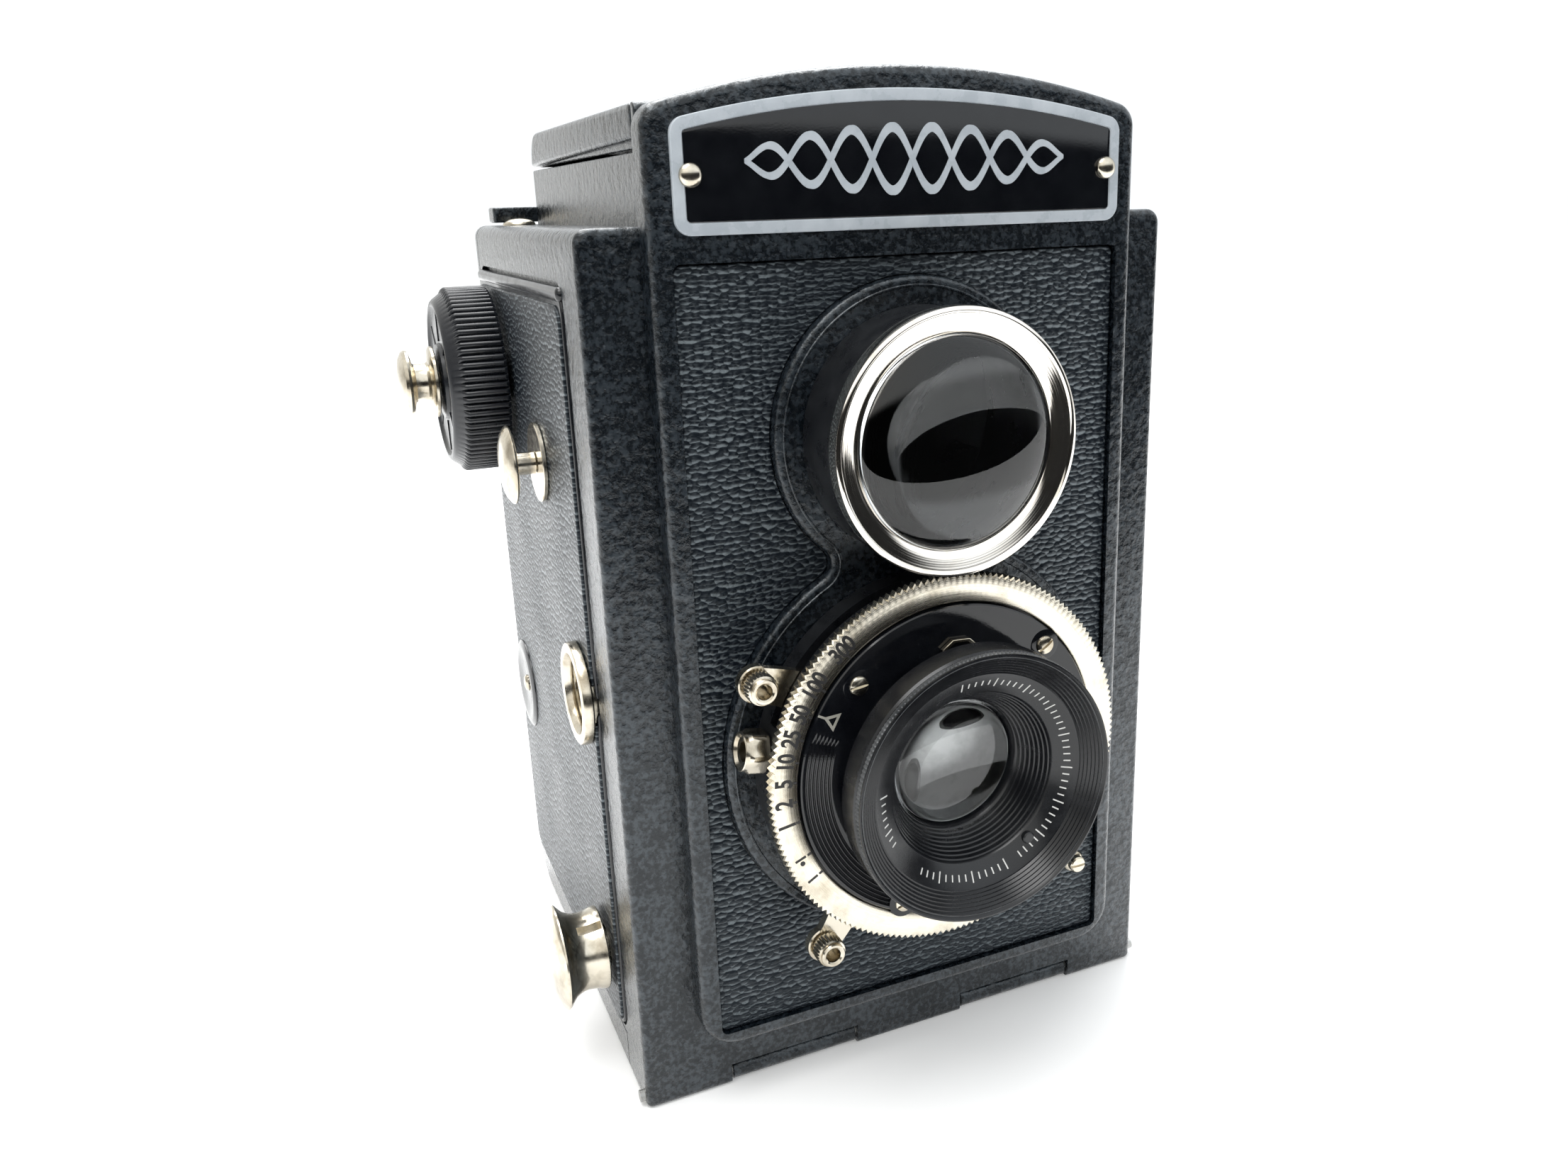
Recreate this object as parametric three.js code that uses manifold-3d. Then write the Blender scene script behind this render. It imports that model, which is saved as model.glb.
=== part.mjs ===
// Twin lens reflex camera for 6 x 6 cm pictures on roll film, as a box of separate pieces.
// Millimetres, +Z up. The lenses look towards -Y, and +X is on the right seen from the front.
// Inside the camera group Y is counted from the front face of the box and grows towards the back.
// The group is then moved by half the depth, so that the origin is the middle of the base.
import * as THREE from "three";
import { mergeVertices } from "three/addons/utils/BufferGeometryUtils.js";
import Module from "manifold-3d";

const wasm = await Module();
wasm.setup();

// Driving dimensions
const box = { half: 37, depth: 68.8, top: 107.7, wall: 1.2, corner: 1.7 };
const plate = { half: 30.1, face: -3.6, bottom: 8.4, top: 123.65, arch: 106, skin: 1.4 };
const leather = { half: 27.7, low: 10.4, high: 103.8, floor: -2.4, surface: -2.95 };
const badge = { half: 27.3, low: 106.6, high: 121.2, arch: 118, face: -4.2 };
const finder = { z: 83.92, boss: 17.6, bore: 12.6 };
const taking = { z: 45.45, boss: 25.35, bore: 12.6 };
const boss = { face: -4.4, fillet: 2 };
const seam = { front: 8.9, height: 5.5, rear: 66.5, corner: 8, gap: 0.3 };
const door = { sheet: 1.5, corner: 8, start: 3.2 };
const hinge = { y: 1.45, z: 1.35, knuckle: 1.3, bore: 0.95, pin: 0.75 };
const notches = [[-25.7, -7.7], [8, 25.9]];
const panel = { front: 8.2, rear: 65.6, low: 6.3, high: 101.5, thick: 0.6 };
const wind = { y: 54.3, z: 86.7, radius: 13, ribs: 40 };
const supply = { y: 14.5, z: 15.7 };
const strap = { y: 28, z: 78.7 };
const tripod = { y: 14, z: 52, rim: 6.5, bore: 4.76 };
const dish = { y: 58.2, z: 37.7, radius: 6.2 };
const spool = { end: 32.6, flange: 12.6, core: 6 };
const rollers = { y: 64, radius: 1.5, upper: 76.1, lower: 14.8, half: 31 };
const gate = { y: 64.9, half: 28, mouth: 10.5, start: 3.2, sheet: 0.8 };
const hood = { half: 29.2, front: 0.5, rear: 59.5, top: 115.2, wall: 1.2 };
const lid = { low: 115.6, top: 120.2, front: 0.8, hingeY: 2, hingeZ: 119, skin: 1.1 };
const wing = { x: 27.4, z: 117.4, wide: 26.3, thick: 0.6, front: 6, rear: 57 };
const view = { half: 20.5, front: 3.5, rear: 41.5 };
const mirror = { offset: 64, half: 21, low: 7, high: 37, thick: 2 };
const shutter = { radius: 22, back: -4.45, shoulder: -11, neck: 19.4, face: -12.8 };
const speed = { outer: 23.18, inner: 19.7, root: 22.75, back: -11.15, front: -12.45, teeth: 62 };
const levers = { back: -7.7, front: -8.9, knobFront: -11.5, knob: 2.2 };
const blade = { pivot: 15.5, back: -6, thick: 0.15, pitch: 0.25, count: 4, reach: 8.8 };
const rearWindow = { z: 34, pivotX: 10.5 };
const rail = { front: 63, rear: 64.4, top: 108.5, half: 28 };
const badgeRivets = { x: 25.4, z: 112.6 };
const topRivets = { x: 32, y: 58.2 };
const ears = [[-18, -15], [15, 18]];
const pressure = { half: 30.5, front: 65.7, rear: 66.5, low: 18, high: 73 };

// Facets round a full turn
const fine = 36;
const plain = 24;
const small = 12;

// Solids
function signedVolume(points, triangles) {
  const a = new THREE.Vector3();
  const b = new THREE.Vector3();
  const c = new THREE.Vector3();
  let volume = 0;
  for (let i = 0; i < triangles.length; i += 3) {
    a.fromArray(points, 3 * triangles[i]);
    b.fromArray(points, 3 * triangles[i + 1]);
    c.fromArray(points, 3 * triangles[i + 2]);
    volume += a.dot(b.cross(c)) / 6;
  }
  return volume;
}

function solidOf(geometry) {
  geometry.deleteAttribute("normal");
  geometry.deleteAttribute("uv");
  const merged = mergeVertices(geometry, 1e-4);
  const points = new Float32Array(merged.attributes.position.array);
  const index = merged.index.array;
  const triangles = [];
  for (let i = 0; i < index.length; i += 3) {
    const [a, b, c] = [index[i], index[i + 1], index[i + 2]];
    if (a !== b && b !== c && c !== a) triangles.push(a, b, c);
  }
  if (signedVolume(points, triangles) < 0) triangles.reverse();
  const mesh = new wasm.Mesh({ numProp: 3, vertProperties: points, triVerts: new Uint32Array(triangles) });
  return new wasm.Manifold(mesh);
}

const joined = (first, ...others) => others.reduce((sum, next) => sum.add(next), first);
const cut = (first, ...tools) => tools.reduce((rest, tool) => rest.subtract(tool), first);

function block([x0, x1], [y0, y1], [z0, z1]) {
  const geometry = new THREE.BoxGeometry(x1 - x0, y1 - y0, z1 - z0);
  geometry.translate((x0 + x1) / 2, (y0 + y1) / 2, (z0 + z1) / 2);
  return solidOf(geometry);
}

const across = (half) => [-half, half];

// Turned shapes: each profile is a list of [radius, distance along the axis].
function lathe(profile, segments) {
  const points = profile.map(([r, h]) => new THREE.Vector2(r, h));
  if (profile[0][0] > 0) points.push(points[0].clone());
  return new THREE.LatheGeometry(points, segments);
}

function turnedX(profile, y, z, segments = plain) {
  return solidOf(lathe(profile, segments).rotateZ(-Math.PI / 2).translate(0, y, z));
}

function turnedY(profile, x, z, segments = plain) {
  return solidOf(lathe(profile, segments).translate(x, 0, z));
}

function turnedZ(profile, x, y, segments = plain) {
  return solidOf(lathe(profile, segments).rotateX(Math.PI / 2).translate(x, y, 0));
}

const rod = (radius, from, to) => [[0, from], [radius, from], [radius, to], [0, to]];
const tube = (inner, outer, from, to) => [[inner, from], [outer, from], [outer, to], [inner, to]];

// A shallow dome: a disc of the given radius from base to edge, crowned to top.
function domed(radius, base, edge, top, steps = 3) {
  const profile = [[0, base], [radius, base]];
  for (let i = 0; i < steps; i += 1) {
    const t = i / steps;
    profile.push([radius * Math.cos(t * Math.PI / 2), edge + (top - edge) * Math.sin(t * Math.PI / 2)]);
  }
  profile.push([0, top]);
  return profile;
}

// Extrusions: an outline in X and Z goes forward, one in Y and Z goes across, one in X and Y goes up.
const extrude = (shape, depth, curveSegments) =>
  new THREE.ExtrudeGeometry(shape, { depth, curveSegments, bevelEnabled: false });

function forward(shape, back, front, curveSegments = 6) {
  return solidOf(extrude(shape, back - front, curveSegments).rotateX(Math.PI / 2).translate(0, back, 0));
}

function sideways(shape, [x0, x1], curveSegments = 5) {
  const turn = new THREE.Matrix4().makeBasis(
    new THREE.Vector3(0, 1, 0), new THREE.Vector3(0, 0, 1), new THREE.Vector3(1, 0, 0));
  return solidOf(extrude(shape, x1 - x0, curveSegments).applyMatrix4(turn).translate(x0, 0, 0));
}

const upward = (shape, [z0, z1]) => solidOf(extrude(shape, z1 - z0, 4).translate(0, 0, z0));

function outline(points) {
  return new THREE.Shape(points.map(([a, b]) => new THREE.Vector2(a, b)));
}

function roundedRectangle([x0, x1], [y0, y1], r) {
  const shape = new THREE.Shape();
  shape.absarc(x1 - r, y0 + r, r, -Math.PI / 2, 0, false);
  shape.absarc(x1 - r, y1 - r, r, 0, Math.PI / 2, false);
  shape.absarc(x0 + r, y1 - r, r, Math.PI / 2, Math.PI, false);
  shape.absarc(x0 + r, y0 + r, r, Math.PI, 1.5 * Math.PI, false);
  return shape;
}

// Upright outline with an arched top whose corners are rounded.
function archedOutline(half, low, high, arch, topCorner, lowCorner) {
  const centre = high - arch;
  const rise = Math.sqrt((arch - topCorner) ** 2 - (half - topCorner) ** 2);
  const turn = Math.atan2(rise, half - topCorner);
  const shape = new THREE.Shape();
  shape.absarc(half - lowCorner, low + lowCorner, lowCorner, -Math.PI / 2, 0, false);
  shape.absarc(half - topCorner, centre + rise, topCorner, 0, turn, false);
  shape.absarc(0, centre, arch, turn, Math.PI - turn, false);
  shape.absarc(topCorner - half, centre + rise, topCorner, Math.PI - turn, Math.PI, false);
  shape.absarc(lowCorner - half, low + lowCorner, lowCorner, Math.PI, 1.5 * Math.PI, false);
  return shape;
}

// The raised figure of eight round both lenses, with filleted necks.
function eightOutline(grow) {
  const upper = finder.boss + grow;
  const lower = taking.boss + grow;
  const fillet = boss.fillet - grow;
  const apart = finder.z - taking.z;
  const up = (apart ** 2 + (lower + fillet) ** 2 - (upper + fillet) ** 2) / (2 * apart);
  const side = Math.sqrt((lower + fillet) ** 2 - up ** 2);
  const neck = taking.z + up;
  const toLower = Math.atan2(up, side);
  const toUpper = Math.atan2(neck - finder.z, side);
  const shape = new THREE.Shape();
  shape.absarc(0, taking.z, lower, Math.PI - toLower, 2 * Math.PI + toLower, false);
  shape.absarc(side, neck, fillet, Math.PI + toLower, Math.PI + toUpper, true);
  shape.absarc(0, finder.z, upper, toUpper, Math.PI - toUpper, false);
  shape.absarc(-side, neck, fillet, -toUpper, -toLower, true);
  return shape;
}

function toothedOutline(root, tip, count) {
  const points = [];
  for (let i = 0; i < 2 * count; i += 1) {
    const angle = (Math.PI * i) / count;
    const r = i % 2 ? root : tip;
    points.push([r * Math.cos(angle), r * Math.sin(angle)]);
  }
  return outline(points);
}

const degrees = (angle) => (angle * Math.PI) / 180;
const polar = (radius, angle) =>
  [radius * Math.cos(degrees(angle)), radius * Math.sin(degrees(angle))];

// Materials
const paint = (color, roughness, metalness) =>
  new THREE.MeshStandardMaterial({ color, roughness, metalness });
const enamel = paint(0x1d1f21, 0.45, 0.1);
const hide = paint(0x17191c, 0.6, 0);
const nickel = paint(0xd8d2c2, 0.25, 1);
const steel = paint(0x9a9a98, 0.4, 1);
const gloss = paint(0x08090b, 0.12, 0);
const matte = paint(0x101112, 0.7, 0.1);
const bakelite = paint(0x141517, 0.35, 0);
const ruby = paint(0x8a1010, 0.2, 0);
const silvered = paint(0xdfe3e6, 0.03, 1);
const glass = new THREE.MeshStandardMaterial({
  color: 0xcfd6da, roughness: 0.02, metalness: 0, transparent: true, opacity: 0.35 });

const camera = new THREE.Group();

function piece(name, solid, material) {
  const { vertProperties, triVerts } = solid.getMesh();
  const geometry = new THREE.BufferGeometry();
  geometry.setAttribute("position", new THREE.BufferAttribute(new Float32Array(vertProperties), 3));
  geometry.setIndex(new THREE.BufferAttribute(new Uint32Array(triVerts), 1));
  geometry.computeVertexNormals();
  const mesh = new THREE.Mesh(geometry, material);
  mesh.name = name;
  camera.add(mesh);
}

// Casing

function boxOutline() {
  const { half, top, corner } = box;
  const shape = new THREE.Shape();
  shape.moveTo(-half, 0);
  shape.lineTo(half, 0);
  shape.absarc(half - corner, top - corner, corner, 0, Math.PI / 2, false);
  shape.absarc(corner - half, top - corner, corner, Math.PI / 2, Math.PI, false);
  return shape;
}

// Side view of what belongs to the door, below and behind the seam.
function doorRegion(gap) {
  const { front, height, rear, corner } = seam;
  const shape = new THREE.Shape();
  shape.moveTo(box.depth + 2, -1);
  shape.lineTo(box.depth + 2, box.top + 1);
  shape.lineTo(rear - gap, box.top + 1);
  shape.absarc(rear - gap - corner, height + gap + corner, corner, 0, -Math.PI / 2, true);
  shape.lineTo(front - gap, height + gap);
  shape.lineTo(front - gap, -1);
  return shape;
}

function bodyShell() {
  const inside = box.half - box.wall;
  const rolled = joined(
    cut(forward(boxOutline(), box.depth, 0),
      block(across(inside), [box.wall, box.depth + 1], [-1, box.top - box.wall]),
      sideways(doorRegion(seam.gap), across(box.half + 3)),
      block(across(box.half + 3), [-1, hinge.y], [-1, hinge.z])),
    turnedX(rod(1.35, -box.half, box.half), hinge.y, hinge.z, small),
    block(across(rail.half), [rail.front, rail.rear], [box.top - 0.5, rail.top]));
  const left = (radius, { y, z }) => turnedX(rod(radius, -box.half - 3, -inside + 3), y, z, small);
  const rollerHoles = [rollers.upper, rollers.lower].map((z) =>
    turnedX(rod(0.95, -inside - 0.6, inside + 0.6), rollers.y, z, small));
  return cut(rolled,
    ...notches.map((span) => block(span, [-1, 3.3], [-1, 2.95])),
    turnedX(rod(hinge.bore, -box.half - 1, box.half + 1), hinge.y, hinge.z, small),
    turnedY(rod(finder.bore, -1, 3), 0, finder.z),
    turnedY(rod(taking.bore, -1, 3), 0, taking.z),
    block(across(view.half), [view.front, view.rear], [box.top - 3, box.top + 1]),
    left(3.5, wind), left(2.6, supply), left(5.9, tripod), ...rollerHoles);
}

function frontPlate() {
  const { half, face, bottom, top, arch } = plate;
  const solid = joined(
    cut(forward(archedOutline(half, bottom, top, arch, 2.6, 5), 0, face),
      forward(roundedRectangle(across(leather.half), [leather.low, leather.high], 0.8), leather.floor, -6)),
    forward(eightOutline(0), -2, boss.face, 12));
  return cut(solid,
    forward(roundedRectangle(across(28.6), [10, 104], 3), 1, -plate.skin),
    turnedY(rod(finder.bore, -8, 1), 0, finder.z),
    turnedY(rod(taking.bore, -8, 1), 0, taking.z));
}

function frontLeather() {
  const sheet = roundedRectangle(across(leather.half - 0.1), [leather.low + 0.1, leather.high - 0.1], 0.8);
  return cut(forward(sheet, leather.floor, leather.surface), forward(eightOutline(0.3), 0, -6, 12));
}

// A covering panel for the left side (side = -1) or the right side (side = 1).
function sideLeather(side) {
  const sheet = roundedRectangle([panel.front, panel.rear], [panel.low, panel.high], 3);
  const [inner, outer] = [box.half, box.half + panel.thick];
  const span = side < 0 ? [-outer, -inner] : [inner, outer];
  const solid = sideways(sheet, span);
  if (side > 0) return solid;
  const hole = (radius, { y, z }) => turnedX(rod(radius, -box.half - 3, -box.half + 3), y, z, small);
  const raised = turnedX(domed(dish.radius, -box.half, -outer - 0.3, -outer - 0.7), dish.y, dish.z, plain);
  return cut(joined(solid, raised), hole(4, wind), hole(3, supply), hole(5.9, tripod));
}

function badgePlate() {
  const { half, low, high, arch, face } = badge;
  return forward(archedOutline(half, low, high, arch, 1.6, 1.6), plate.face, face);
}

function badgeRivet(side) {
  const { face } = badge;
  return turnedY(domed(1.5, face, face - 0.15, face - 0.85), side * badgeRivets.x, badgeRivets.z, small);
}

function topRivet(side) {
  const { top } = box;
  return turnedZ(domed(2.2, top, top + 0.2, top + 1), side * topRivets.x, topRivets.y, small);
}

piece("body_shell", bodyShell(), enamel);
piece("front_plate", frontPlate(), enamel);
piece("front_leather", frontLeather(), hide);
piece("side_leather_left", sideLeather(-1), hide);
piece("side_leather_right", sideLeather(1), hide);
piece("badge_plate", badgePlate(), gloss);
piece("badge_rivet_left", badgeRivet(-1), nickel);
piece("badge_rivet_right", badgeRivet(1), nickel);
piece("top_rivet_left", topRivet(-1), nickel);
piece("top_rivet_right", topRivet(1), nickel);

// Fittings on the sides

// A strap stud: flange, neck and domed cap, on the left (side = -1) or the right (side = 1).
function strapStud(side) {
  const base = box.half + panel.thick + 0.05;
  const profile = [[0, 0], [5.1, 0], [5.1, 0.6], [1.45, 0.6], [1.45, 3.4], [5, 3.6], [5, 3.9], [4.2, 4.5],
    [2.4, 4.9], [0, 5.05]];
  return turnedX(profile.map(([r, h]) => [r, side * (base + h)]), strap.y, strap.z);
}

function tripodBush() {
  const { rim, bore, y, z } = tripod;
  const [face, seat] = [-box.half - 2, -box.half - panel.thick - 0.05];
  return turnedX([[0, -31.5], [5.6, -31.5], [5.6, seat], [rim, seat], [rim, face + 0.4], [rim - 0.4, face],
    [bore + 0.3, face], [bore, face + 0.3], [bore, -33], [0, -33]], y, z);
}

piece("strap_stud_left", strapStud(-1), nickel);
piece("strap_stud_right", strapStud(1), nickel);
piece("tripod_bush", tripodBush(), nickel);

// Finder: tube, bezel and lens at the front, mirror behind, viewing lens under the hood

const tubeSeat = boss.face - 0.05;
const finderTube = turnedY([[11, 2.4], [12.3, 2.4], [12.3, tubeSeat], [14.4, tubeSeat], [14.4, -13],
  [11, -13]], 0, finder.z, fine);
const finderRing = turnedY([[12.1, -13.05], [14.9, -13.05], [14.9, -14.6], [14.5, -15], [13.9, -15],
  [12.1, -14.3]], 0, finder.z, fine);
const finderLens = turnedY([[0, -12], [6, -12.4], [11.85, -13.1], [11.85, -14.2], [10.5, -15], [8.5, -15.75],
  [6, -16.35], [3, -16.7], [0, -16.8]], 0, finder.z, plain);

// A slab whose upper face lies on the mirror's 45 degree plane, lowered by a distance.
function slope(lowered, thick, [y0, y1], span) {
  const [high, low] = [mirror.offset - lowered * Math.SQRT2, mirror.offset - (lowered + thick) * Math.SQRT2];
  return sideways(outline([[y0, y0 + low], [y1, y1 + low], [y1, y1 + high], [y0, y0 + high]]), span);
}

function mirrorCradle() {
  const [front, top] = [2.7, box.top - box.wall - 0.2];
  const base = mirror.offset - 3.3 * Math.SQRT2;
  const cheek = outline([[front, front + base], [top - base, top], [front, top]]);
  return joined(slope(2.3, 1, [front, top - base - 2.2], across(23.5)),
    sideways(cheek, [-23.5, -22.5]), sideways(cheek, [22.5, 23.5]));
}

function viewingLens() {
  const { half, front, rear } = view;
  const crown = [];
  for (let i = 0; i <= 4; i += 1) crown.push([28 * (i / 4), 109.7 - 2 * (i / 4) ** 2]);
  const cap = turnedZ([[0, 105], [28, 105], ...crown.reverse()], 0, (front + rear) / 2, fine);
  const seat = block(across(half - 0.3), [front + 0.3, rear - 0.3], [105, box.top]);
  const above = block(across(half - 1.5), [front + 1.5, rear - 1.5], [106, 112]);
  return joined(seat.intersect(cap), above.intersect(cap));
}

piece("finder_tube", finderTube, matte);
piece("finder_ring", finderRing, nickel);
piece("finder_lens", finderLens, glass);
piece("finder_mirror", slope(0, mirror.thick, [mirror.low, mirror.high], across(mirror.half)), silvered);
piece("mirror_cradle", mirrorCradle(), matte);
piece("viewing_lens", viewingLens(), glass);

// Hood

function hoodFrame() {
  const { half, front, rear, top, wall } = hood;
  const lugs = ears.map((span) => joined(block(span, [0.6, 3.4], [top - 1, lid.hingeZ]),
    turnedX(rod(1.4, ...span), lid.hingeY, lid.hingeZ, small)));
  const walls = cut(block(across(half), [front, rear], [box.top, top]),
    block(across(half - wall), [front + wall, rear - wall], [box.top - 1, top + 1]));
  return cut(joined(walls, ...lugs), turnedX(rod(0.7, -19, 19), lid.hingeY, lid.hingeZ, small));
}

function hoodFloor() {
  const inset = hood.wall + 0.2;
  const depth = [hood.front + inset, hood.rear - inset];
  return cut(block(across(hood.half - inset), depth, [box.top, box.top + 0.9]),
    block(across(view.half - 1.2), [view.front + 1.2, view.rear - 1.2], [box.top - 1, box.top + 2]));
}

// The lid is a tray, open below, with its hinge at the front and its rear edge well rounded.
function hoodLid() {
  const { low, top, front, hingeY, hingeZ, skin } = lid;
  const rear = hood.rear;
  const side = new THREE.Shape();
  side.moveTo(front, low);
  side.lineTo(rear, low);
  side.absarc(rear - 4, top - 4, 4, 0, Math.PI / 2, false);
  side.absarc(front + 1, top - 1, 1, Math.PI / 2, Math.PI, false);
  const tray = cut(sideways(side, across(hood.half)),
    block(across(hood.half - skin), [front + 3.6, rear - skin], [low - 1, top - skin]));
  const earRoom = ears.map(([x0, x1]) => block([x0 - 0.4, x1 + 0.4], [0, 4.5], [low - 1, top + 1]));
  return cut(tray, ...earRoom, turnedX(rod(0.75, -20, 20), hingeY, hingeZ, small));
}

// A wing hangs from the lid's side. Its front is cut at 45 degrees, so that it clears the frame.
function hoodWing(side) {
  const { x, z, wide, thick, front, rear } = wing;
  const inner = x - wide;
  const sheet = outline([[x - 0.3, front], [x - 0.3, rear], [inner, rear], [inner, lid.hingeY + wide + 1],
    [x - 4, front]].map(([a, b]) => [side * a, b]));
  const bead = turnedY(rod(0.5, front, rear), side * x, z, small);
  return joined(upward(sheet, [z - thick / 2, z + thick / 2]), bead);
}

piece("hood_frame", hoodFrame(), enamel);
piece("hood_floor", hoodFloor(), matte);
piece("lid_hinge_pin", turnedX(rod(0.55, -20, 20), lid.hingeY, lid.hingeZ, small), steel);
piece("hood_lid", hoodLid(), enamel);
piece("hood_wing_left", hoodWing(-1), enamel);
piece("hood_wing_right", hoodWing(1), enamel);

// Film chamber: a square funnel from the lens to the picture gate, with a flange at each end

function frustum(front, rear, [nearHalf, farHalf]) {
  const geometry = new THREE.BoxGeometry(2, rear - front, 2);
  geometry.translate(0, (front + rear) / 2, 0);
  const place = geometry.attributes.position;
  for (let i = 0; i < place.count; i += 1) {
    const half = place.getY(i) > (front + rear) / 2 ? farHalf : nearHalf;
    place.setXYZ(i, place.getX(i) * half, place.getY(i), taking.z + place.getZ(i) * half);
  }
  return solidOf(geometry);
}

function filmChamber() {
  const { y, half, mouth, start, sheet } = gate;
  const taper = (half - mouth) / (y - start);
  const walls = joined(
    frustum(start, y, [mouth + sheet, half + sheet]),
    block(across(15), [start - 0.7, start + 0.1], [taking.z - 13, taking.z + 15]),
    block(across(box.half - box.wall - 0.2), [y - 0.9, y],
      [taking.z - half - sheet, taking.z + half + sheet]));
  return cut(walls, frustum(start - 2, y + 1, [mouth - 2 * taper, half + taper]));
}

function spoolPin({ y, z }) {
  const base = box.half - box.wall - 0.05;
  return turnedX([[0, 30.6], [1.2, 30.6], [1.5, 31], [1.5, 34.4], [4, 34.4], [4, base], [0, base]],
    y, z, small);
}

function filmRoller(z) {
  const { y, radius, half } = rollers;
  const pin = box.half - box.wall + 0.4;
  return turnedX([[0, -pin], [0.7, -pin], [0.7, -half], [radius, -half], [radius, half], [0.7, half],
    [0.7, pin], [0, pin]], y, z, small);
}

piece("film_chamber", filmChamber(), matte);
piece("spool_pin_upper", spoolPin(wind), steel);
piece("spool_pin_lower", spoolPin(supply), steel);
piece("film_roller_upper", filmRoller(rollers.upper), steel);
piece("film_roller_lower", filmRoller(rollers.lower), steel);

// Film transport: ribbed knob, its pull button with the driving key, take-up spool, and the lower pull knob

function windKnob() {
  const { y, z, radius, ribs } = wind;
  const ribbed = sideways(toothedOutline(radius - 0.45, radius, ribs), [-44, -38.2]).translate([0, y, z]);
  const face = turnedX([[0, -38.4], [12.4, -38.4], [12.4, -44.1], [11.3, -46], [10.4, -46], [10, -45.5],
    [0, -45.5]], y, z);
  const hub = turnedX(rod(3, -46.2, -34.2), y, z, small);
  return cut(joined(ribbed, face, hub), turnedX(rod(1.7, -48, -33), y, z, small));
}

function windButton() {
  const { y, z } = wind;
  const button = turnedX([[0, -51.8], [3, -51.6], [4.4, -51], [4.7, -50.4], [4.6, -49.9], [2.6, -49.4],
    [2.6, -47.6], [5, -47.2], [5, -46.5], [1.3, -46.5], [1.3, -33], [0, -33]], y, z);
  return joined(button, block([-33.4, -30.4], [y - 0.5, y + 0.5], [z - 1.15, z + 1.15]));
}

function takeUpSpool() {
  const { y, z } = wind;
  const { end, flange, core } = spool;
  const body = turnedX([[0, -end], [core, -end], [core, 1 - end], [flange, 1 - end], [flange, 2 - end],
    [core, 2 - end], [core, end - 2], [flange, end - 2], [flange, end - 1], [core, end - 1], [core, end],
    [0, end]], y, z);
  return cut(body, block([-end - 1, -end + 3.5], [y - 0.85, y + 0.85], [z - 1.5, z + 1.5]),
    turnedX(rod(1.9, end - 3.5, end + 1), y, z, small));
}

// The lower pull knob has a waist and a domed cap, with a slot along the top of its neck.
function supplyKnob() {
  const { y, z } = supply;
  const knob = turnedX([[0, -45.3], [3, -45.1], [5.4, -44.6], [6.6, -44.1], [6.8, -43.7], [6.1, -43.1],
    [5.3, -42.2], [5, -41.2], [5, -40.2], [5.2, -39.2], [5.4, -38.2], [2.2, -38.2], [2.2, -33], [1.5, -32.4],
    [1.5, -30.6], [0, -30.6]], y, z);
  return cut(knob, block([-41.6, -38.9], [y - 0.6, y + 0.6], [z + 4.2, z + 6]));
}

piece("wind_knob", windKnob(), bakelite);
piece("wind_button", windButton(), nickel);
piece("take_up_spool", takeUpSpool(), matte);
piece("supply_knob", supplyKnob(), nickel);

// Back door: bottom and back in one bent sheet with lips round the seam, hinged at the lower front edge

// Side view of the closed door as a filled block, shrunk all round by the inset.
function doorBlock(inset) {
  const { depth, top } = box;
  const { corner, start } = door;
  const shape = new THREE.Shape();
  shape.absarc(depth - corner, corner, corner - inset, -Math.PI / 2, 0, false);
  shape.lineTo(depth - inset, top + 1);
  shape.lineTo(start, top + 1);
  shape.lineTo(start, inset);
  return shape;
}

function backDoor() {
  const solidSide = sideways(doorBlock(0), across(box.half));
  const hollow = sideways(doorBlock(door.sheet), across(box.half - box.wall));
  const beforeSeam = block(across(box.half + 1), [-5, seam.front], [-1, box.top + 2]);
  const behind = sideways(doorRegion(0), across(box.half));
  const tongue = block(across(box.half - box.wall - 0.4), [door.start, seam.front + 1], [0, door.sheet]);
  const topLip = block(across(box.half), [seam.rear, box.depth], [box.top - box.wall, box.top]);
  const shell = joined(cut(solidSide.intersect(behind), hollow, beforeSeam), topLip, tongue)
    .intersect(forward(boxOutline(), box.depth + 1, -1));
  const knuckles = notches.map(([low, high]) => joined(
    turnedX(rod(hinge.knuckle, low + 0.3, high - 0.3), hinge.y, hinge.z, small),
    block([low + 0.3, high - 0.3], [hinge.y, door.start + 0.5], [0, 1.2])));
  return cut(joined(shell, ...knuckles),
    turnedX(rod(hinge.bore, -box.half, box.half), hinge.y, hinge.z, small),
    turnedY(rod(5, box.depth - 3, box.depth + 1), 0, rearWindow.z));
}

function backLeather() {
  const { depth } = box;
  const sheet = roundedRectangle(across(34.5), [10, 104.5], 2);
  return cut(forward(sheet, depth + 0.5, depth), turnedY(rod(7.4, depth - 1, depth + 1), 0, rearWindow.z));
}

// The window's cover swings on a pin at its right end and has a small raised grip at the other.
function windowCover() {
  const { z, pivotX } = rearWindow;
  const [back, front] = [box.depth + 1.5, box.depth + 0.7];
  const shape = new THREE.Shape();
  shape.absarc(0, z, 6.6, Math.PI / 2, 1.5 * Math.PI, false);
  shape.absarc(pivotX, z, 3, -Math.PI / 2, Math.PI / 2, false);
  return joined(forward(shape, back, front), turnedY(rod(1.4, front, back + 0.6), pivotX, z, small),
    block([-5.2, -4.2], [back - 0.1, back + 0.9], [z - 2.5, z + 2.5]));
}

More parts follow.
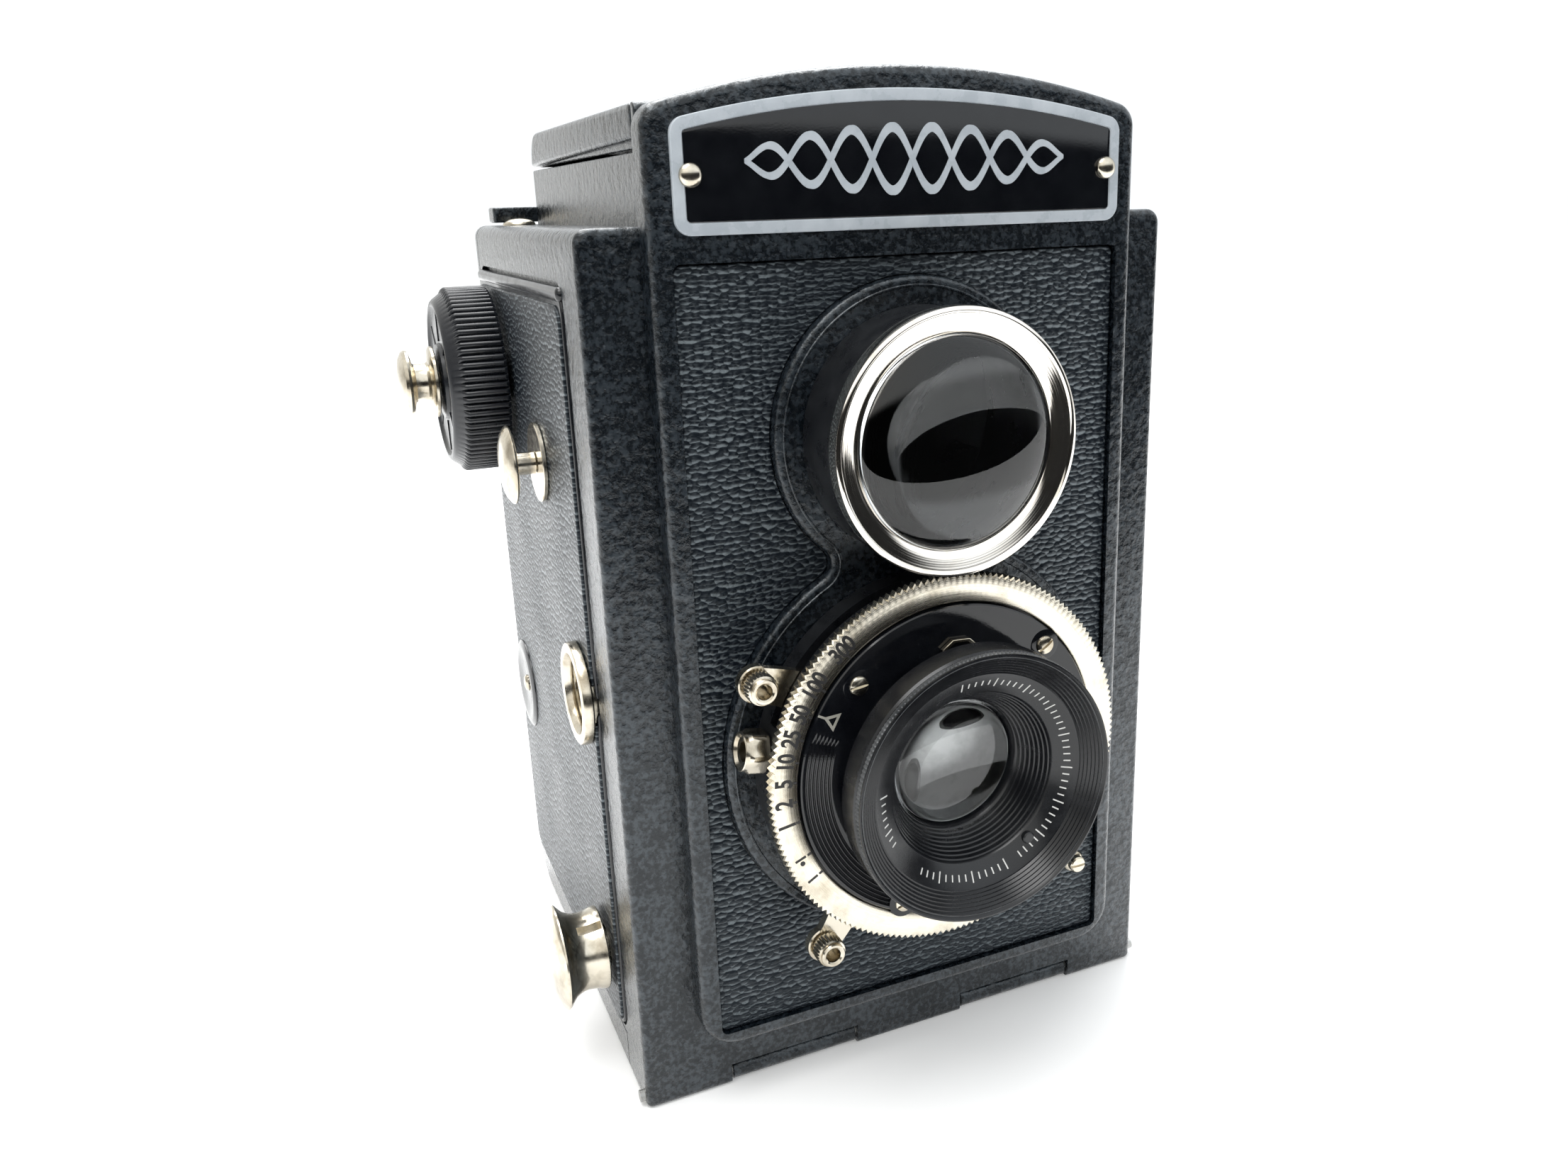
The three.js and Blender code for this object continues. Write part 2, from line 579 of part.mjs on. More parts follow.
piece("back_door", backDoor(), enamel);
piece("back_leather", backLeather(), hide);
piece("pressure_plate", block(across(pressure.half), [pressure.front, pressure.rear],
  [pressure.low, pressure.high]), matte);
piece("film_window", turnedY(rod(4.9, box.depth - 1.2, box.depth - 0.3), 0, rearWindow.z, small), ruby);
piece("window_cover", windowCover(), enamel);
piece("door_hinge_pin", turnedX(rod(hinge.pin, -37.6, 37.9), hinge.y, hinge.z, small), steel);

// The latch is a bar that slides on the shell's rail, with two tongues over the door's upper edge.
function latchBar() {
  const [low, high] = [box.top + 0.4, box.top + 2.55];
  const bar = block([-35, 32], [61.4, 66], [low, high]);
  const tongues = [[-24, -14], [14, 24]].map((span) => block(span, [65.9, 68.6], [low, low + 1]));
  const groove = block([-31.5, 30], [rail.front - 0.3, rail.rear + 0.3], [low - 1, rail.top + 0.3]);
  return cut(joined(bar, ...tongues), groove);
}

piece("latch_bar", latchBar(), enamel);

// Shutter

// A ring sector in the front view, round the taking axis.
function sector(inner, outer, from, to) {
  const shape = new THREE.Shape();
  shape.absarc(0, 0, outer, degrees(from), degrees(to), false);
  shape.absarc(0, 0, inner, degrees(to), degrees(from), true);
  return shape;
}

const atTaking = (solid) => solid.translate([0, 0, taking.z]);

function shutterHousing() {
  const { radius, back, shoulder, neck, face } = shutter;
  const [front, roof, floor] = [face + 0.8, -9.1, -5.6];
  const can = turnedY([[9.6, back], [radius, back], [radius, shoulder], [neck, shoulder], [neck, front],
    [neck - 1.4, front], [neck - 1.4, roof], [20.6, roof], [20.6, floor], [9.6, floor]], 0, taking.z, fine);
  const posts = [];
  for (let i = 0; i < blade.count; i += 1) {
    const [x, z] = polar(blade.pivot, (360 * i) / blade.count);
    posts.push(turnedY(rod(0.5, -5.5, -7.1), x, taking.z + z, 12));
  }
  const slots = [[108, 161], [220, 253]].map(([from, to]) =>
    atTaking(forward(sector(19.8, radius + 1, from, to), -7.4, -9.1)));
  return cut(joined(can, ...posts), ...slots);
}

// The face carries the short barrel that the focusing cell turns in.
function shutterFace() {
  const [back, front] = [shutter.face + 0.8, shutter.face];
  return turnedY([[10.8, -8], [11.8, -8], [11.8, back], [19.5, back], [19.5, front], [11.8, front],
    [11.8, -13.6], [10.8, -13.6]], 0, taking.z, fine);
}

// A slotted screw head on the shutter's face, given by its radius and angle from the taking axis.
function faceScrew([radius, angle]) {
  const [x, up] = polar(radius, angle);
  const { face } = shutter;
  const z = taking.z + up;
  const profile = [[0, face], [1.15, face], [1.15, face - 0.25], [0.9, face - 0.45], [0, face - 0.5]];
  const slot = block([x - 2, x + 2], [face - 1, face - 0.25], [z - 0.15, z + 0.15]);
  return cut(turnedY(profile, x, z, small), slot);
}

function speedRing() {
  const shape = toothedOutline(speed.root, speed.outer, speed.teeth);
  const hole = new THREE.Path();
  hole.absarc(0, 0, speed.inner, 0, 2 * Math.PI, true);
  shape.holes.push(hole);
  return atTaking(forward(shape, speed.back, speed.front, 18));
}

// A lever knob on a plate, hollow at its front end, given by its radius and angle from the taking axis.
function leverKnob([radius, angle]) {
  const { back, front, knobFront, knob } = levers;
  const [x, z] = polar(radius, angle);
  return turnedY([[0, back], [knob + 0.2, back], [knob + 0.2, front], [knob, front], [knob, knobFront + 0.3],
    [1.6, knobFront], [0.9, knobFront], [0.9, knobFront + 2], [0, knobFront + 2]], x, taking.z + z, small);
}

// A flat arm between two places in the front view, with its width at each end.
function leverArm(from, to, wide, narrow, back = levers.back, front = levers.front) {
  const along = new THREE.Vector2(to[0] - from[0], to[1] - from[1]).normalize();
  const side = ([x, z], half) =>
    [[x - along.y * half, z + along.x * half], [x + along.y * half, z - along.x * half]];
  const [a, b] = side(from, wide / 2);
  const [c, d] = side(to, narrow / 2);
  return atTaking(forward(outline([a, b, d, c]), back, front));
}

const cocking = [26.0, 150.7];
const release = [27.4, 235.3];
const releasePivot = [17.5, 222];

function cockingLever() {
  const ring = turnedY(tube(12.2, 15, levers.back, levers.front), 0, taking.z, fine);
  return joined(ring, leverArm(polar(13.8, cocking[1]), polar(...cocking), 5, 3.2), leverKnob(cocking));
}

function releaseLever() {
  const [x, z] = polar(...releasePivot);
  const eye = turnedY(rod(1.3, levers.back, levers.front), x, taking.z + z, small);
  return joined(eye, leverArm([x, z], polar(...release), 2.6, 3.6), leverKnob(release));
}

// The aperture ring turns round the barrel in front of the face and carries a pointer.
function apertureRing() {
  const [back, front] = [shutter.face - 0.15, shutter.face - 0.65];
  const pointer = leverArm(polar(12.8, 87), polar(15.6, 87), 4.4, 2, back, front);
  return joined(turnedY(tube(12.1, 13.4, back, front), 0, taking.z, fine), pointer);
}

// One leaf of the shutter: a sector over the opening, joined to a lobe round its post.
function shutterBlade(i) {
  const { pivot, back, thick, pitch, count, reach } = blade;
  const [y0, y1] = [back - i * pitch, back - i * pitch - thick];
  const leaf = new THREE.Shape();
  leaf.moveTo(-0.45, -0.45);
  leaf.lineTo(...polar(reach, -8));
  leaf.absarc(0, 0, reach, degrees(-8), degrees(98), false);
  const web = outline([polar(reach - 0.2, -8), [pivot, -1.6], [pivot, 1.6], polar(reach - 0.2, 35)]);
  const lobe = new THREE.Shape();
  lobe.absarc(pivot, 0, 1.6, 0, 2 * Math.PI, false);
  const flat = cut(joined(forward(leaf, y0, y1), forward(web, y0, y1), forward(lobe, y0, y1)),
    turnedY(rod(0.8, y0 + 1, y1 - 1), pivot, 0, 12));
  return atTaking(flat.rotate([0, -(360 * i) / count, 0]));
}

function cableSocket() {
  const socket = turnedX([[1.3, 22.1], [2.5, 22.1], [2.5, 24.6], [2.1, 25], [1.6, 25]], 0, 0, 6);
  return socket.rotate([0, -170, 0]).translate([0, -7.1, taking.z]);
}

function plateStud() {
  const [x, z, base] = [24.2, 21.1, leather.surface - 0.05];
  const head = turnedY([[0, base], [1.5, base], [1.5, base - 0.4], [1.15, base - 0.6], [1.15, base - 1.4],
    [0.9, base - 1.6], [0, base - 1.6]], x, z, small);
  return cut(head, block([x - 2, x + 2], [base - 2, base - 1.2], [z - 0.18, z + 0.18]));
}

piece("shutter_housing", shutterHousing(), matte);
piece("shutter_face", shutterFace(), gloss);
[[17.04, 135], [17.76, 45.4], [18.2, 247.9]].forEach((place, i) => {
  piece(`face_screw_${i + 1}`, faceScrew(place), nickel);
});
piece("speed_ring", speedRing(), nickel);
piece("cocking_lever", cockingLever(), nickel);
piece("release_lever", releaseLever(), nickel);
piece("aperture_ring", apertureRing(), steel);
for (let i = 0; i < blade.count; i += 1) piece(`shutter_blade_${i + 1}`, shutterBlade(i), steel);
piece("cable_socket", cableSocket(), nickel);
piece("plate_stud", plateStud(), nickel);

// Taking lens: the focusing cell turns in the barrel, and the rear cell clamps the shutter to the box

const focusCell = turnedY([[7.8, -10.3], [10.5, -10.3], [10.5, -13.95], [13.4, -13.95], [16.2, -16.6],
  [16.2, -18.5], [15.8, -18.7], [15.8, -20.2], [16.25, -20.4], [16.25, -21.25], [15.9, -21.25], [13.2, -19.3],
  [10.6, -17.85], [7.8, -13]], 0, taking.z, fine);
const frontGlass = turnedY([[0, -10.2], [4, -10.4], [7.5, -11], [7.5, -12.4], [5.8, -13.1], [3, -13.65],
  [0, -13.8]], 0, taking.z);
const rearCell = turnedY([[7.6, -5.7], [9.3, -5.7], [9.3, 1.25], [13.4, 1.25], [13.4, 2.3], [9.3, 2.3],
  [9.3, 6], [7.6, 6]], 0, taking.z);
const rearGlass = turnedY([[0, 1.4], [4, 1.7], [7.4, 2.6], [7.4, 4.4], [4, 5.2], [0, 5.5]], 0, taking.z);

piece("focus_cell", focusCell, matte);
piece("front_glass", frontGlass, glass);
piece("rear_cell", rearCell, matte);
piece("rear_glass", rearGlass, glass);

const part = new THREE.Group();
camera.position.y = -box.depth / 2;
part.add(camera);
part.updateMatrixWorld(true);

export default part;
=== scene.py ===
"""Looks for the twin lens reflex camera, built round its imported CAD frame.

Lengths are millimetres until a mesh is made. Depths are counted from the front face of the box
towards the back, so lens parts in front of the box have negative depths.
"""
import math

import bmesh
import bpy
from mathutils import Matrix, Vector


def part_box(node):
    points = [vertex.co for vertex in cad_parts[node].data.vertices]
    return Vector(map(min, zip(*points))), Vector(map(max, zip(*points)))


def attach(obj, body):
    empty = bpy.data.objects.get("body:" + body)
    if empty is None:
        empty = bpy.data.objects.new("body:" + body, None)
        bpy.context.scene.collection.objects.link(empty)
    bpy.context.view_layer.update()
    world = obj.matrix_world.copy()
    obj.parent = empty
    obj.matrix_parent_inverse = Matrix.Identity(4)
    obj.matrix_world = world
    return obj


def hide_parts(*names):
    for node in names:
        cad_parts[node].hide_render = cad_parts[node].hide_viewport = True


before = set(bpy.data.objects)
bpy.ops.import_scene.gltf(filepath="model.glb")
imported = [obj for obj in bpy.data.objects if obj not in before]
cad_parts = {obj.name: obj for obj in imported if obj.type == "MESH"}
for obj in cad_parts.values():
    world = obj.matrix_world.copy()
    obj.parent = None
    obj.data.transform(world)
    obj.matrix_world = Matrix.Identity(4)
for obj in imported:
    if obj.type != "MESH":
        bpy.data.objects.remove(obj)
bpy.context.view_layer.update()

MM = 0.001
HALF_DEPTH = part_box("back_door")[1].y / MM


def centre_of(node):
    low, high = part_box(node)
    x, y, z = (low + high) / 2 / MM
    return x, y + HALF_DEPTH, z


def extent_of(node):
    low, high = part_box(node)
    shift = Vector((0, HALF_DEPTH, 0))
    return low / MM + shift, high / MM + shift


# Places taken from the frame
SHELL_LOW, SHELL_HIGH = extent_of("body_shell")
PLATE_LOW, PLATE_HIGH = extent_of("front_plate")
HALF = SHELL_HIGH.x
TOP = extent_of("back_door")[1].z
DEPTH = 2 * HALF_DEPTH
FINDER = (0.0, centre_of("finder_ring")[2])
TAKING = (0.0, centre_of("speed_ring")[2])
WIND = centre_of("take_up_spool")[1:]
SUPPLY = centre_of("supply_knob")[1:]
STRAP = centre_of("strap_stud_left")[1:]
TRIPOD = centre_of("tripod_bush")[1:]
HINGE = centre_of("door_hinge_pin")[1:]
DISH = (58.2, 37.7)
BOSS_FACE = PLATE_LOW.y
PLATE_FACE = BOSS_FACE + 0.8
LEATHER_FACE = extent_of("front_leather")[0].y
SHUTTER_FACE = -12.8


# Mesh building

def place(x, depth, z):
    return (x * MM, (depth - HALF_DEPTH) * MM, z * MM)


def shade(obj, sharp_angle=32):
    """Consistent normals, smooth faces, and sharp edges wherever the surface turns quickly."""
    mesh = bmesh.new()
    mesh.from_mesh(obj.data)
    bmesh.ops.remove_doubles(mesh, verts=mesh.verts, dist=1e-7)
    bmesh.ops.recalc_face_normals(mesh, faces=mesh.faces)
    limit = math.radians(sharp_angle)
    for face in mesh.faces:
        face.smooth = True
    for edge in mesh.edges:
        edge.smooth = len(edge.link_faces) == 2 and edge.calc_face_angle(0) < limit
    mesh.to_mesh(obj.data)
    mesh.free()


def solid(name, shape):
    """A new object from (vertices in millimetres, faces)."""
    points, faces = shape
    mesh = bpy.data.meshes.new(name)
    mesh.from_pydata([place(*point) for point in points], [], faces)
    obj = bpy.data.objects.new(name, mesh)
    bpy.context.scene.collection.objects.link(obj)
    shade(obj)
    return obj


def bake_modifiers(obj):
    bpy.context.view_layer.update()
    graph = bpy.context.evaluated_depsgraph_get()
    mesh = bpy.data.meshes.new_from_object(obj.evaluated_get(graph))
    obj.modifiers.clear()
    obj.data = mesh


def combine(obj, tools, operation="DIFFERENCE"):
    for tool in tools:
        modifier = obj.modifiers.new("combine", "BOOLEAN")
        modifier.object = tool
        modifier.operation = operation
        modifier.solver = "EXACT"
        bake_modifiers(obj)
        bpy.data.objects.remove(tool)
    shade(obj)
    return obj


def finished(obj, body, material, replaces=()):
    obj.data.materials.clear()
    obj.data.materials.append(material)
    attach(obj, body)
    if replaces:
        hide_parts(*replaces)
    return obj


def lathe(profile, axis, centre, segments=96, shape=None):
    """Turns (radius, height) points round an axis; shape may change a point by its angle."""
    a0, b0 = centre

    def put(a, b, h):
        return {"X": (h, a0 + a, b0 + b), "Y": (a0 + a, h, b0 + b), "Z": (a0 + a, b0 + b, h)}[axis]

    points, rows = [], []
    for r, h in profile:
        if r < 1e-6:
            rows.append([len(points)] * segments)
            points.append(put(0, 0, h))
            continue
        rows.append(range(len(points), len(points) + segments))
        for i in range(segments):
            angle = 2 * math.pi * i / segments
            radius, height = shape(r, h, angle) if shape else (r, h)
            points.append(put(radius * math.cos(angle), radius * math.sin(angle), height))
    pairs = list(zip(rows, rows[1:]))
    if profile[0][0] > 1e-6:
        pairs.append((rows[-1], rows[0]))
    faces = []
    for row, after in pairs:
        for i in range(segments):
            j = (i + 1) % segments
            corners = list(dict.fromkeys((row[i], row[j], after[j], after[i])))
            if len(corners) > 2:
                faces.append(corners)
    return points, faces


def loft(outline, steps, plane="front"):
    """Walls through outline(inset) at each (inset, depth), closed by a flat face at both ends."""
    put = {
        "front": lambda a, b, h: (a, h, b),
        "side": lambda a, b, h: (h, a, b),
        "top": lambda a, b, h: (a, b, h),
    }[plane]
    points, rows = [], []
    for inset, depth in steps:
        ring = outline(inset)
        rows.append(range(len(points), len(points) + len(ring)))
        points += [put(a, b, depth) for a, b in ring]
    faces = [list(rows[0]), list(rows[-1])]
    count = len(rows[0])
    for row, after in zip(rows, rows[1:]):
        for i in range(count):
            j = (i + 1) % count
            faces.append((row[i], row[j], after[j], after[i]))
    return points, faces


def rounded(back, front, radius, steps=4, start=0.0):
    """Loft steps from back to front with a quarter round at the front edge."""
    sign = 1 if back > front else -1
    path = [(start, back)]
    for i in range(steps + 1):
        t = math.pi / 2 * i / steps
        path.append((start + radius * (1 - math.cos(t)), front + sign * radius * (1 - math.sin(t))))
    return path


def pillowed(low, high, radius, steps=3):
    """Loft steps of a plate whose two faces both have rounded edges."""
    middle = (low + high) / 2
    first = rounded(middle, low, radius, steps)
    return list(reversed(first)) + rounded(middle, high, radius, steps)[1:]


def arc(cx, cy, r, start, end, count):
    return [
        (cx + r * math.cos(start + (end - start) * i / count), cy + r * math.sin(start + (end - start) * i / count))
        for i in range(count + 1)
    ]


def rectangle(x0, x1, y0, y1, r, count=8):
    def outline(inset):
        a, b, c, d, q = x0 + inset, x1 - inset, y0 + inset, y1 - inset, max(r - inset, 0.02)
        return (arc(b - q, c + q, q, -math.pi / 2, 0, count) + arc(b - q, d - q, q, 0, math.pi / 2, count)
                + arc(a + q, d - q, q, math.pi / 2, math.pi, count)
                + arc(a + q, c + q, q, math.pi, 1.5 * math.pi, count))
    return outline


def arched(half, low, high, arch, top_corner, low_corner, count=10):
    def outline(inset):
        h, lo, hi, big = half - inset, low + inset, high - inset, arch - inset
        t, q = max(top_corner - inset, 0.05), max(low_corner - inset, 0.05)
        middle = hi - big
        rise = math.sqrt((big - t) ** 2 - (h - t) ** 2)
        turn = math.atan2(rise, h - t)
        return (arc(h - q, lo + q, q, -math.pi / 2, 0, count) + arc(h - t, middle + rise, t, 0, turn, count)
                + arc(0, middle, big, turn, math.pi - turn, 4 * count)[1:-1]
                + arc(t - h, middle + rise, t, math.pi - turn, math.pi, count)
                + arc(q - h, lo + q, q, math.pi, 1.5 * math.pi, count))
    return outline


def figure_eight(count=48):
    """The outline of the raised boss round both lenses."""
    upper_r, lower_r, fillet_r = 17.6, 25.35, 2.0
    apart = FINDER[1] - TAKING[1]

    def outline(inset):
        upper, lower, fillet = upper_r - inset, lower_r - inset, fillet_r + inset
        up = (apart ** 2 + (lower + fillet) ** 2 - (upper + fillet) ** 2) / (2 * apart)
        side = math.sqrt((lower + fillet) ** 2 - up ** 2)
        neck = TAKING[1] + up
        low_turn, high_turn = math.atan2(up, side), math.atan2(neck - FINDER[1], side)
        pi = math.pi
        return (arc(0, TAKING[1], lower, pi - low_turn, 2 * pi + low_turn, 2 * count)
                + arc(side, neck, fillet, pi + low_turn, pi + high_turn, 10)[1:-1]
                + arc(0, FINDER[1], upper, high_turn, pi - high_turn, 2 * count)
                + arc(-side, neck, fillet, -high_turn, -low_turn, 10)[1:-1])
    return outline


def cylinder(radius, low, high, axis, centre, segments=64):
    return lathe([(0, low), (radius, low), (radius, high), (0, high)], axis, centre, segments)


def polar(radius, degrees, centre=TAKING):
    angle = math.radians(degrees)
    return centre[0] + radius * math.cos(angle), centre[1] + radius * math.sin(angle)


def box_shape(x, depth, z):
    points = [(a, b, c) for a in x for b in depth for c in z]
    faces = [(0, 1, 3, 2), (4, 6, 7, 5), (0, 4, 5, 1), (2, 3, 7, 6), (0, 2, 6, 4), (1, 5, 7, 3)]
    return points, faces


# Materials

class Shader:
    """A Principled material whose extra nodes are added by name."""

    def __init__(self, name, **sockets):
        self.material = bpy.data.materials.new(name)
        self.material.use_nodes = True
        self.tree = self.material.node_tree
        self.surface = self.tree.nodes["Principled BSDF"]
        for socket, value in sockets.items():
            self.put(self.surface, socket.replace("_", " "), value)
        self.place = self.add("ShaderNodeTexCoord").outputs["Object"]

    def put(self, node, socket, value):
        if isinstance(value, bpy.types.NodeSocket):
            self.tree.links.new(value, node.inputs[socket])
        elif isinstance(value, tuple) and len(value) == 3 and node.inputs[socket].type == "RGBA":
            node.inputs[socket].default_value = (*value, 1)
        else:
            node.inputs[socket].default_value = value

    def add(self, kind, inputs=None, **settings):
        node = self.tree.nodes.new(kind)
        for key, value in settings.items():
            setattr(node, key, value)
        for socket, value in (inputs or {}).items():
            self.put(node, socket, value)
        return node

    def scaled(self, scale):
        return self.add("ShaderNodeMapping", {"Vector": self.place, "Scale": scale}).outputs["Vector"]

    def noise(self, scale, detail=4, roughness=0.55, where=None):
        return self.add("ShaderNodeTexNoise", {"Vector": where or self.place, "Scale": scale, "Detail": detail,
                                               "Roughness": roughness}).outputs["Fac"]

    def cells(self, scale, where=None, feature="F1", randomness=1.0):
        return self.add("ShaderNodeTexVoronoi", {"Vector": where or self.place, "Scale": scale,
                                                 "Randomness": randomness}, feature=feature).outputs["Distance"]

    def ramp(self, value, low, high, at=(0.3, 0.7)):
        node = self.add("ShaderNodeValToRGB", {"Fac": value})
        for element, spot, colour in zip(node.color_ramp.elements, at, (low, high)):
            element.position = spot
            element.color = (*colour, 1) if len(colour) == 3 else colour
        return node.outputs["Color"]

    def spread(self, value, low, high, start=0.0, end=1.0):
        return self.add("ShaderNodeMapRange", {"Value": value, "From Min": start, "From Max": end,
                                               "To Min": low, "To Max": high}).outputs["Result"]

    def maths(self, operation, a, b=0.0):
        node = self.add("ShaderNodeMath", operation=operation)
        self.put(node, 0, a)
        self.put(node, 1, b)
        return node.outputs[0]

    def bump(self, height, distance, strength=1.0, after=None):
        inputs = {"Height": height, "Distance": distance, "Strength": strength}
        if after:
            inputs["Normal"] = after
        return self.add("ShaderNodeBump", inputs).outputs["Normal"]

    def surface_is(self, **sockets):
        for socket, value in sockets.items():
            self.put(self.surface, socket.replace("_", " "), value)
        return self.material


def enamel_material():
    """Crackled black enamel: small glossy and dull flecks with a shallow relief."""
    s = Shader("crystal_enamel", Coat_Weight=0.62, Coat_Roughness=0.1, Specular_Tint=(0.84, 0.94, 1.0))
    drift = s.add("ShaderNodeTexNoise", {"Vector": s.place, "Scale": 900, "Detail": 3}).outputs["Color"]
    bent = s.add("ShaderNodeMixRGB", {"Fac": 0.0009, "Color1": s.place, "Color2": drift}, blend_type="ADD")
    flecks = s.noise(1450, 5, 0.62)
    patches = s.noise(240, 3, 0.5)
    folds = s.cells(800, bent.outputs["Color"], "F1")
    grit = s.noise(4200, 4, 0.65)
    level = s.maths("ADD", flecks, s.maths("MULTIPLY", s.maths("SUBTRACT", patches, 0.5), 0.35))
    colour = s.ramp(level, (0.0015, 0.003, 0.005), (0.010, 0.0145, 0.020), (0.46, 0.60))
    height = s.maths("ADD", s.maths("MULTIPLY", flecks, 1.0), s.maths("MULTIPLY", folds, 0.7))
    normal = s.bump(grit, 0.00001, 0.6, s.bump(height, 0.00013, 0.9))
    return s.surface_is(Base_Color=colour, Roughness=s.spread(level, 0.22, 0.36, 0.4, 0.65), Normal=normal,
                        Coat_Normal=s.bump(height, 0.00012, 0.9),
                        Specular_IOR_Level=s.spread(level, 0.2, 0.55, 0.43, 0.62))


def leather_material(name, plane, wide, tall, relief, rough, coat):
    """Fine creased leather on a front or side plane: cells wide and tall in millimetres, with a painted highlight along
    each cell's upper rim and painted shade along its lower rim.
    """
    s = Shader(name, Specular_Tint=(0.84, 0.94, 1.0), Coat_Weight=coat, Coat_Roughness=rough[0])
    split = s.add("ShaderNodeSeparateXYZ", {"Vector": s.place})
    across = split.outputs["X" if plane == "front" else "Y"]
    flat = s.add("ShaderNodeCombineXYZ", {"X": s.maths("MULTIPLY", across, 1000 / wide),
                                          "Y": s.maths("MULTIPLY", split.outputs["Z"], 1000 / tall)})
    drift = s.add("ShaderNodeTexNoise", {"Vector": flat.outputs["Vector"], "Scale": 0.7, "Detail": 3}).outputs["Color"]
    bent = s.add("ShaderNodeMixRGB", {"Fac": 0.9, "Color1": flat.outputs["Vector"], "Color2": drift}, blend_type="ADD")

    def cells(lift):
        moved = s.add("ShaderNodeVectorMath", {0: bent.outputs["Color"], 1: (0, lift, 0)}, operation="ADD")
        return s.add("ShaderNodeTexVoronoi", {"Vector": moved.outputs[0], "Scale": 1.0, "Randomness": 0.75},
                     voronoi_dimensions="2D").outputs["Distance"]

    # Painted light: the cells are compared with a copy moved up, which paints a highlight on each cell's upper rim and
    # painted shade on its lower rim, in the colour, roughness and specular level.
    near, above = cells(0.0), cells(0.24)
    rim = s.spread(near, 0.0, 1.0, 0.22, 0.5)
    slope = s.maths("MULTIPLY", s.maths("SUBTRACT", near, above), 4.0)
    painted_rim_light = s.maths("ADD", s.maths("MULTIPLY", s.maths("MULTIPLY", slope, rim), 0.5), 0.5)
    fine = s.noise(4200, 4, 0.65)
    broad = s.noise(70, 3, 0.5)
    colour = s.ramp(painted_rim_light, (0.0035, 0.0055, 0.009), (0.088, 0.104, 0.114), (0.55, 0.94))
    normal = s.bump(fine, 0.00002, 0.5, s.bump(near, -relief, 1.0))
    gloss = s.maths("ADD", s.spread(painted_rim_light, rough[1], rough[0]), s.spread(broad, -0.04, 0.06, 0.3, 0.7))
    return s.surface_is(Base_Color=colour, Roughness=gloss, Normal=normal,
                        Specular_IOR_Level=s.spread(painted_rim_light, 0.18, 0.8, 0.3, 0.9))


def metal_material(name, colour, dull, rough, grain_scale=(1, 1, 1), scratch=0.00001):
    """Polished or satin metal with tarnish in patches and fine scratches."""
    s = Shader(name, Metallic=1.0)
    patches = s.noise(260, 5, 0.6)
    lines = s.noise(1500, 4, 0.65, s.scaled(grain_scale))
    tone = s.ramp(patches, dull, colour, (0.30, 0.55))
    return s.surface_is(Base_Color=tone, Roughness=s.spread(lines, rough[0], rough[1], 0.3, 0.7),
                        Normal=s.bump(lines, scratch, 0.6))


def turned_metal_material(name, colour, dull, rough, centre, ring_scale=5200):
    """Satin metal turned on a lathe round a front-facing axis: fine rings of changing gloss."""
    s = Shader(name, Metallic=1.0)
    offset = s.add("ShaderNodeVectorMath", {0: s.place, 1: (-centre[0] * MM, 0, -centre[1] * MM)}, operation="ADD")
    flat = s.add("ShaderNodeVectorMath", {0: offset.outputs[0], 1: (1, 0, 1)}, operation="MULTIPLY")
    radius = s.add("ShaderNodeVectorMath", {0: flat.outputs[0]}, operation="LENGTH").outputs["Value"]
    rings = s.add("ShaderNodeTexNoise", {"W": s.maths("MULTIPLY", radius, ring_scale), "Scale": 1.0, "Detail": 3},
                  noise_dimensions="1D").outputs["Fac"]
    patches = s.noise(230, 5, 0.6)
    tone = s.ramp(patches, dull, colour, (0.28, 0.5))
    return s.surface_is(Base_Color=tone, Roughness=s.spread(rings, rough[0], rough[1], 0.3, 0.7),
                        Normal=s.bump(rings, 0.000012, 0.5))


def paint_material(name, colour, light, rough, bump=0.00001, coat=0.0):
    """Plain paint or moulding with faint dust and uneven gloss."""
    s = Shader(name, Coat_Weight=coat)
    patches = s.noise(340, 6, 0.6)
    fine = s.noise(4200, 3, 0.6)
    return s.surface_is(Base_Color=s.ramp(patches, colour, light, (0.35, 0.75)),
                        Roughness=s.spread(patches, rough[0], rough[1], 0.3, 0.7), Normal=s.bump(fine, bump, 0.5))


def glass_material(name, tint):
    s = Shader(name, Transmission_Weight=1.0, IOR=1.52, Base_Color=tint)
    dust = s.noise(2400, 6, 0.75)
    return s.surface_is(Roughness=s.spread(dust, 0.0, 0.05, 0.66, 0.8))


ENAMEL = enamel_material()
FRONT_LEATHER = leather_material("front_leather_grain_painted_rim_light", "front", 1.1, 0.64, 0.00022, (0.28, 0.42), 0.0)
SIDE_LEATHER = leather_material("side_leather_grain_painted_rim_light", "side", 1.15, 0.62, 0.00004, (0.36, 0.48), 0.06)
NICKEL = metal_material("polished_nickel", (0.66, 0.61, 0.51), (0.36, 0.31, 0.23), (0.14, 0.26))
RING_NICKEL = turned_metal_material("speed_ring_nickel", (0.76, 0.71, 0.60), (0.50, 0.445, 0.35), (0.20, 0.32), TAKING)
FINDER_NICKEL = turned_metal_material("finder_ring_nickel", (0.90, 0.85, 0.78), (0.72, 0.66, 0.57), (0.05, 0.12), FINDER)
BADGE_METAL = paint_material("badge_metal", (0.40, 0.44, 0.48), (0.52, 0.56, 0.60), (0.22, 0.36))
STEEL = metal_material("satin_steel", (0.45, 0.45, 0.44), (0.25, 0.25, 0.24), (0.28, 0.42), (1, 1, 8))
GLOSS_BLACK = paint_material("gloss_black_enamel", (0.003, 0.0035, 0.005), (0.007, 0.008, 0.010), (0.05, 0.11))
SATIN_BLACK = paint_material("satin_black", (0.004, 0.0045, 0.006), (0.011, 0.012, 0.014), (0.24, 0.36))
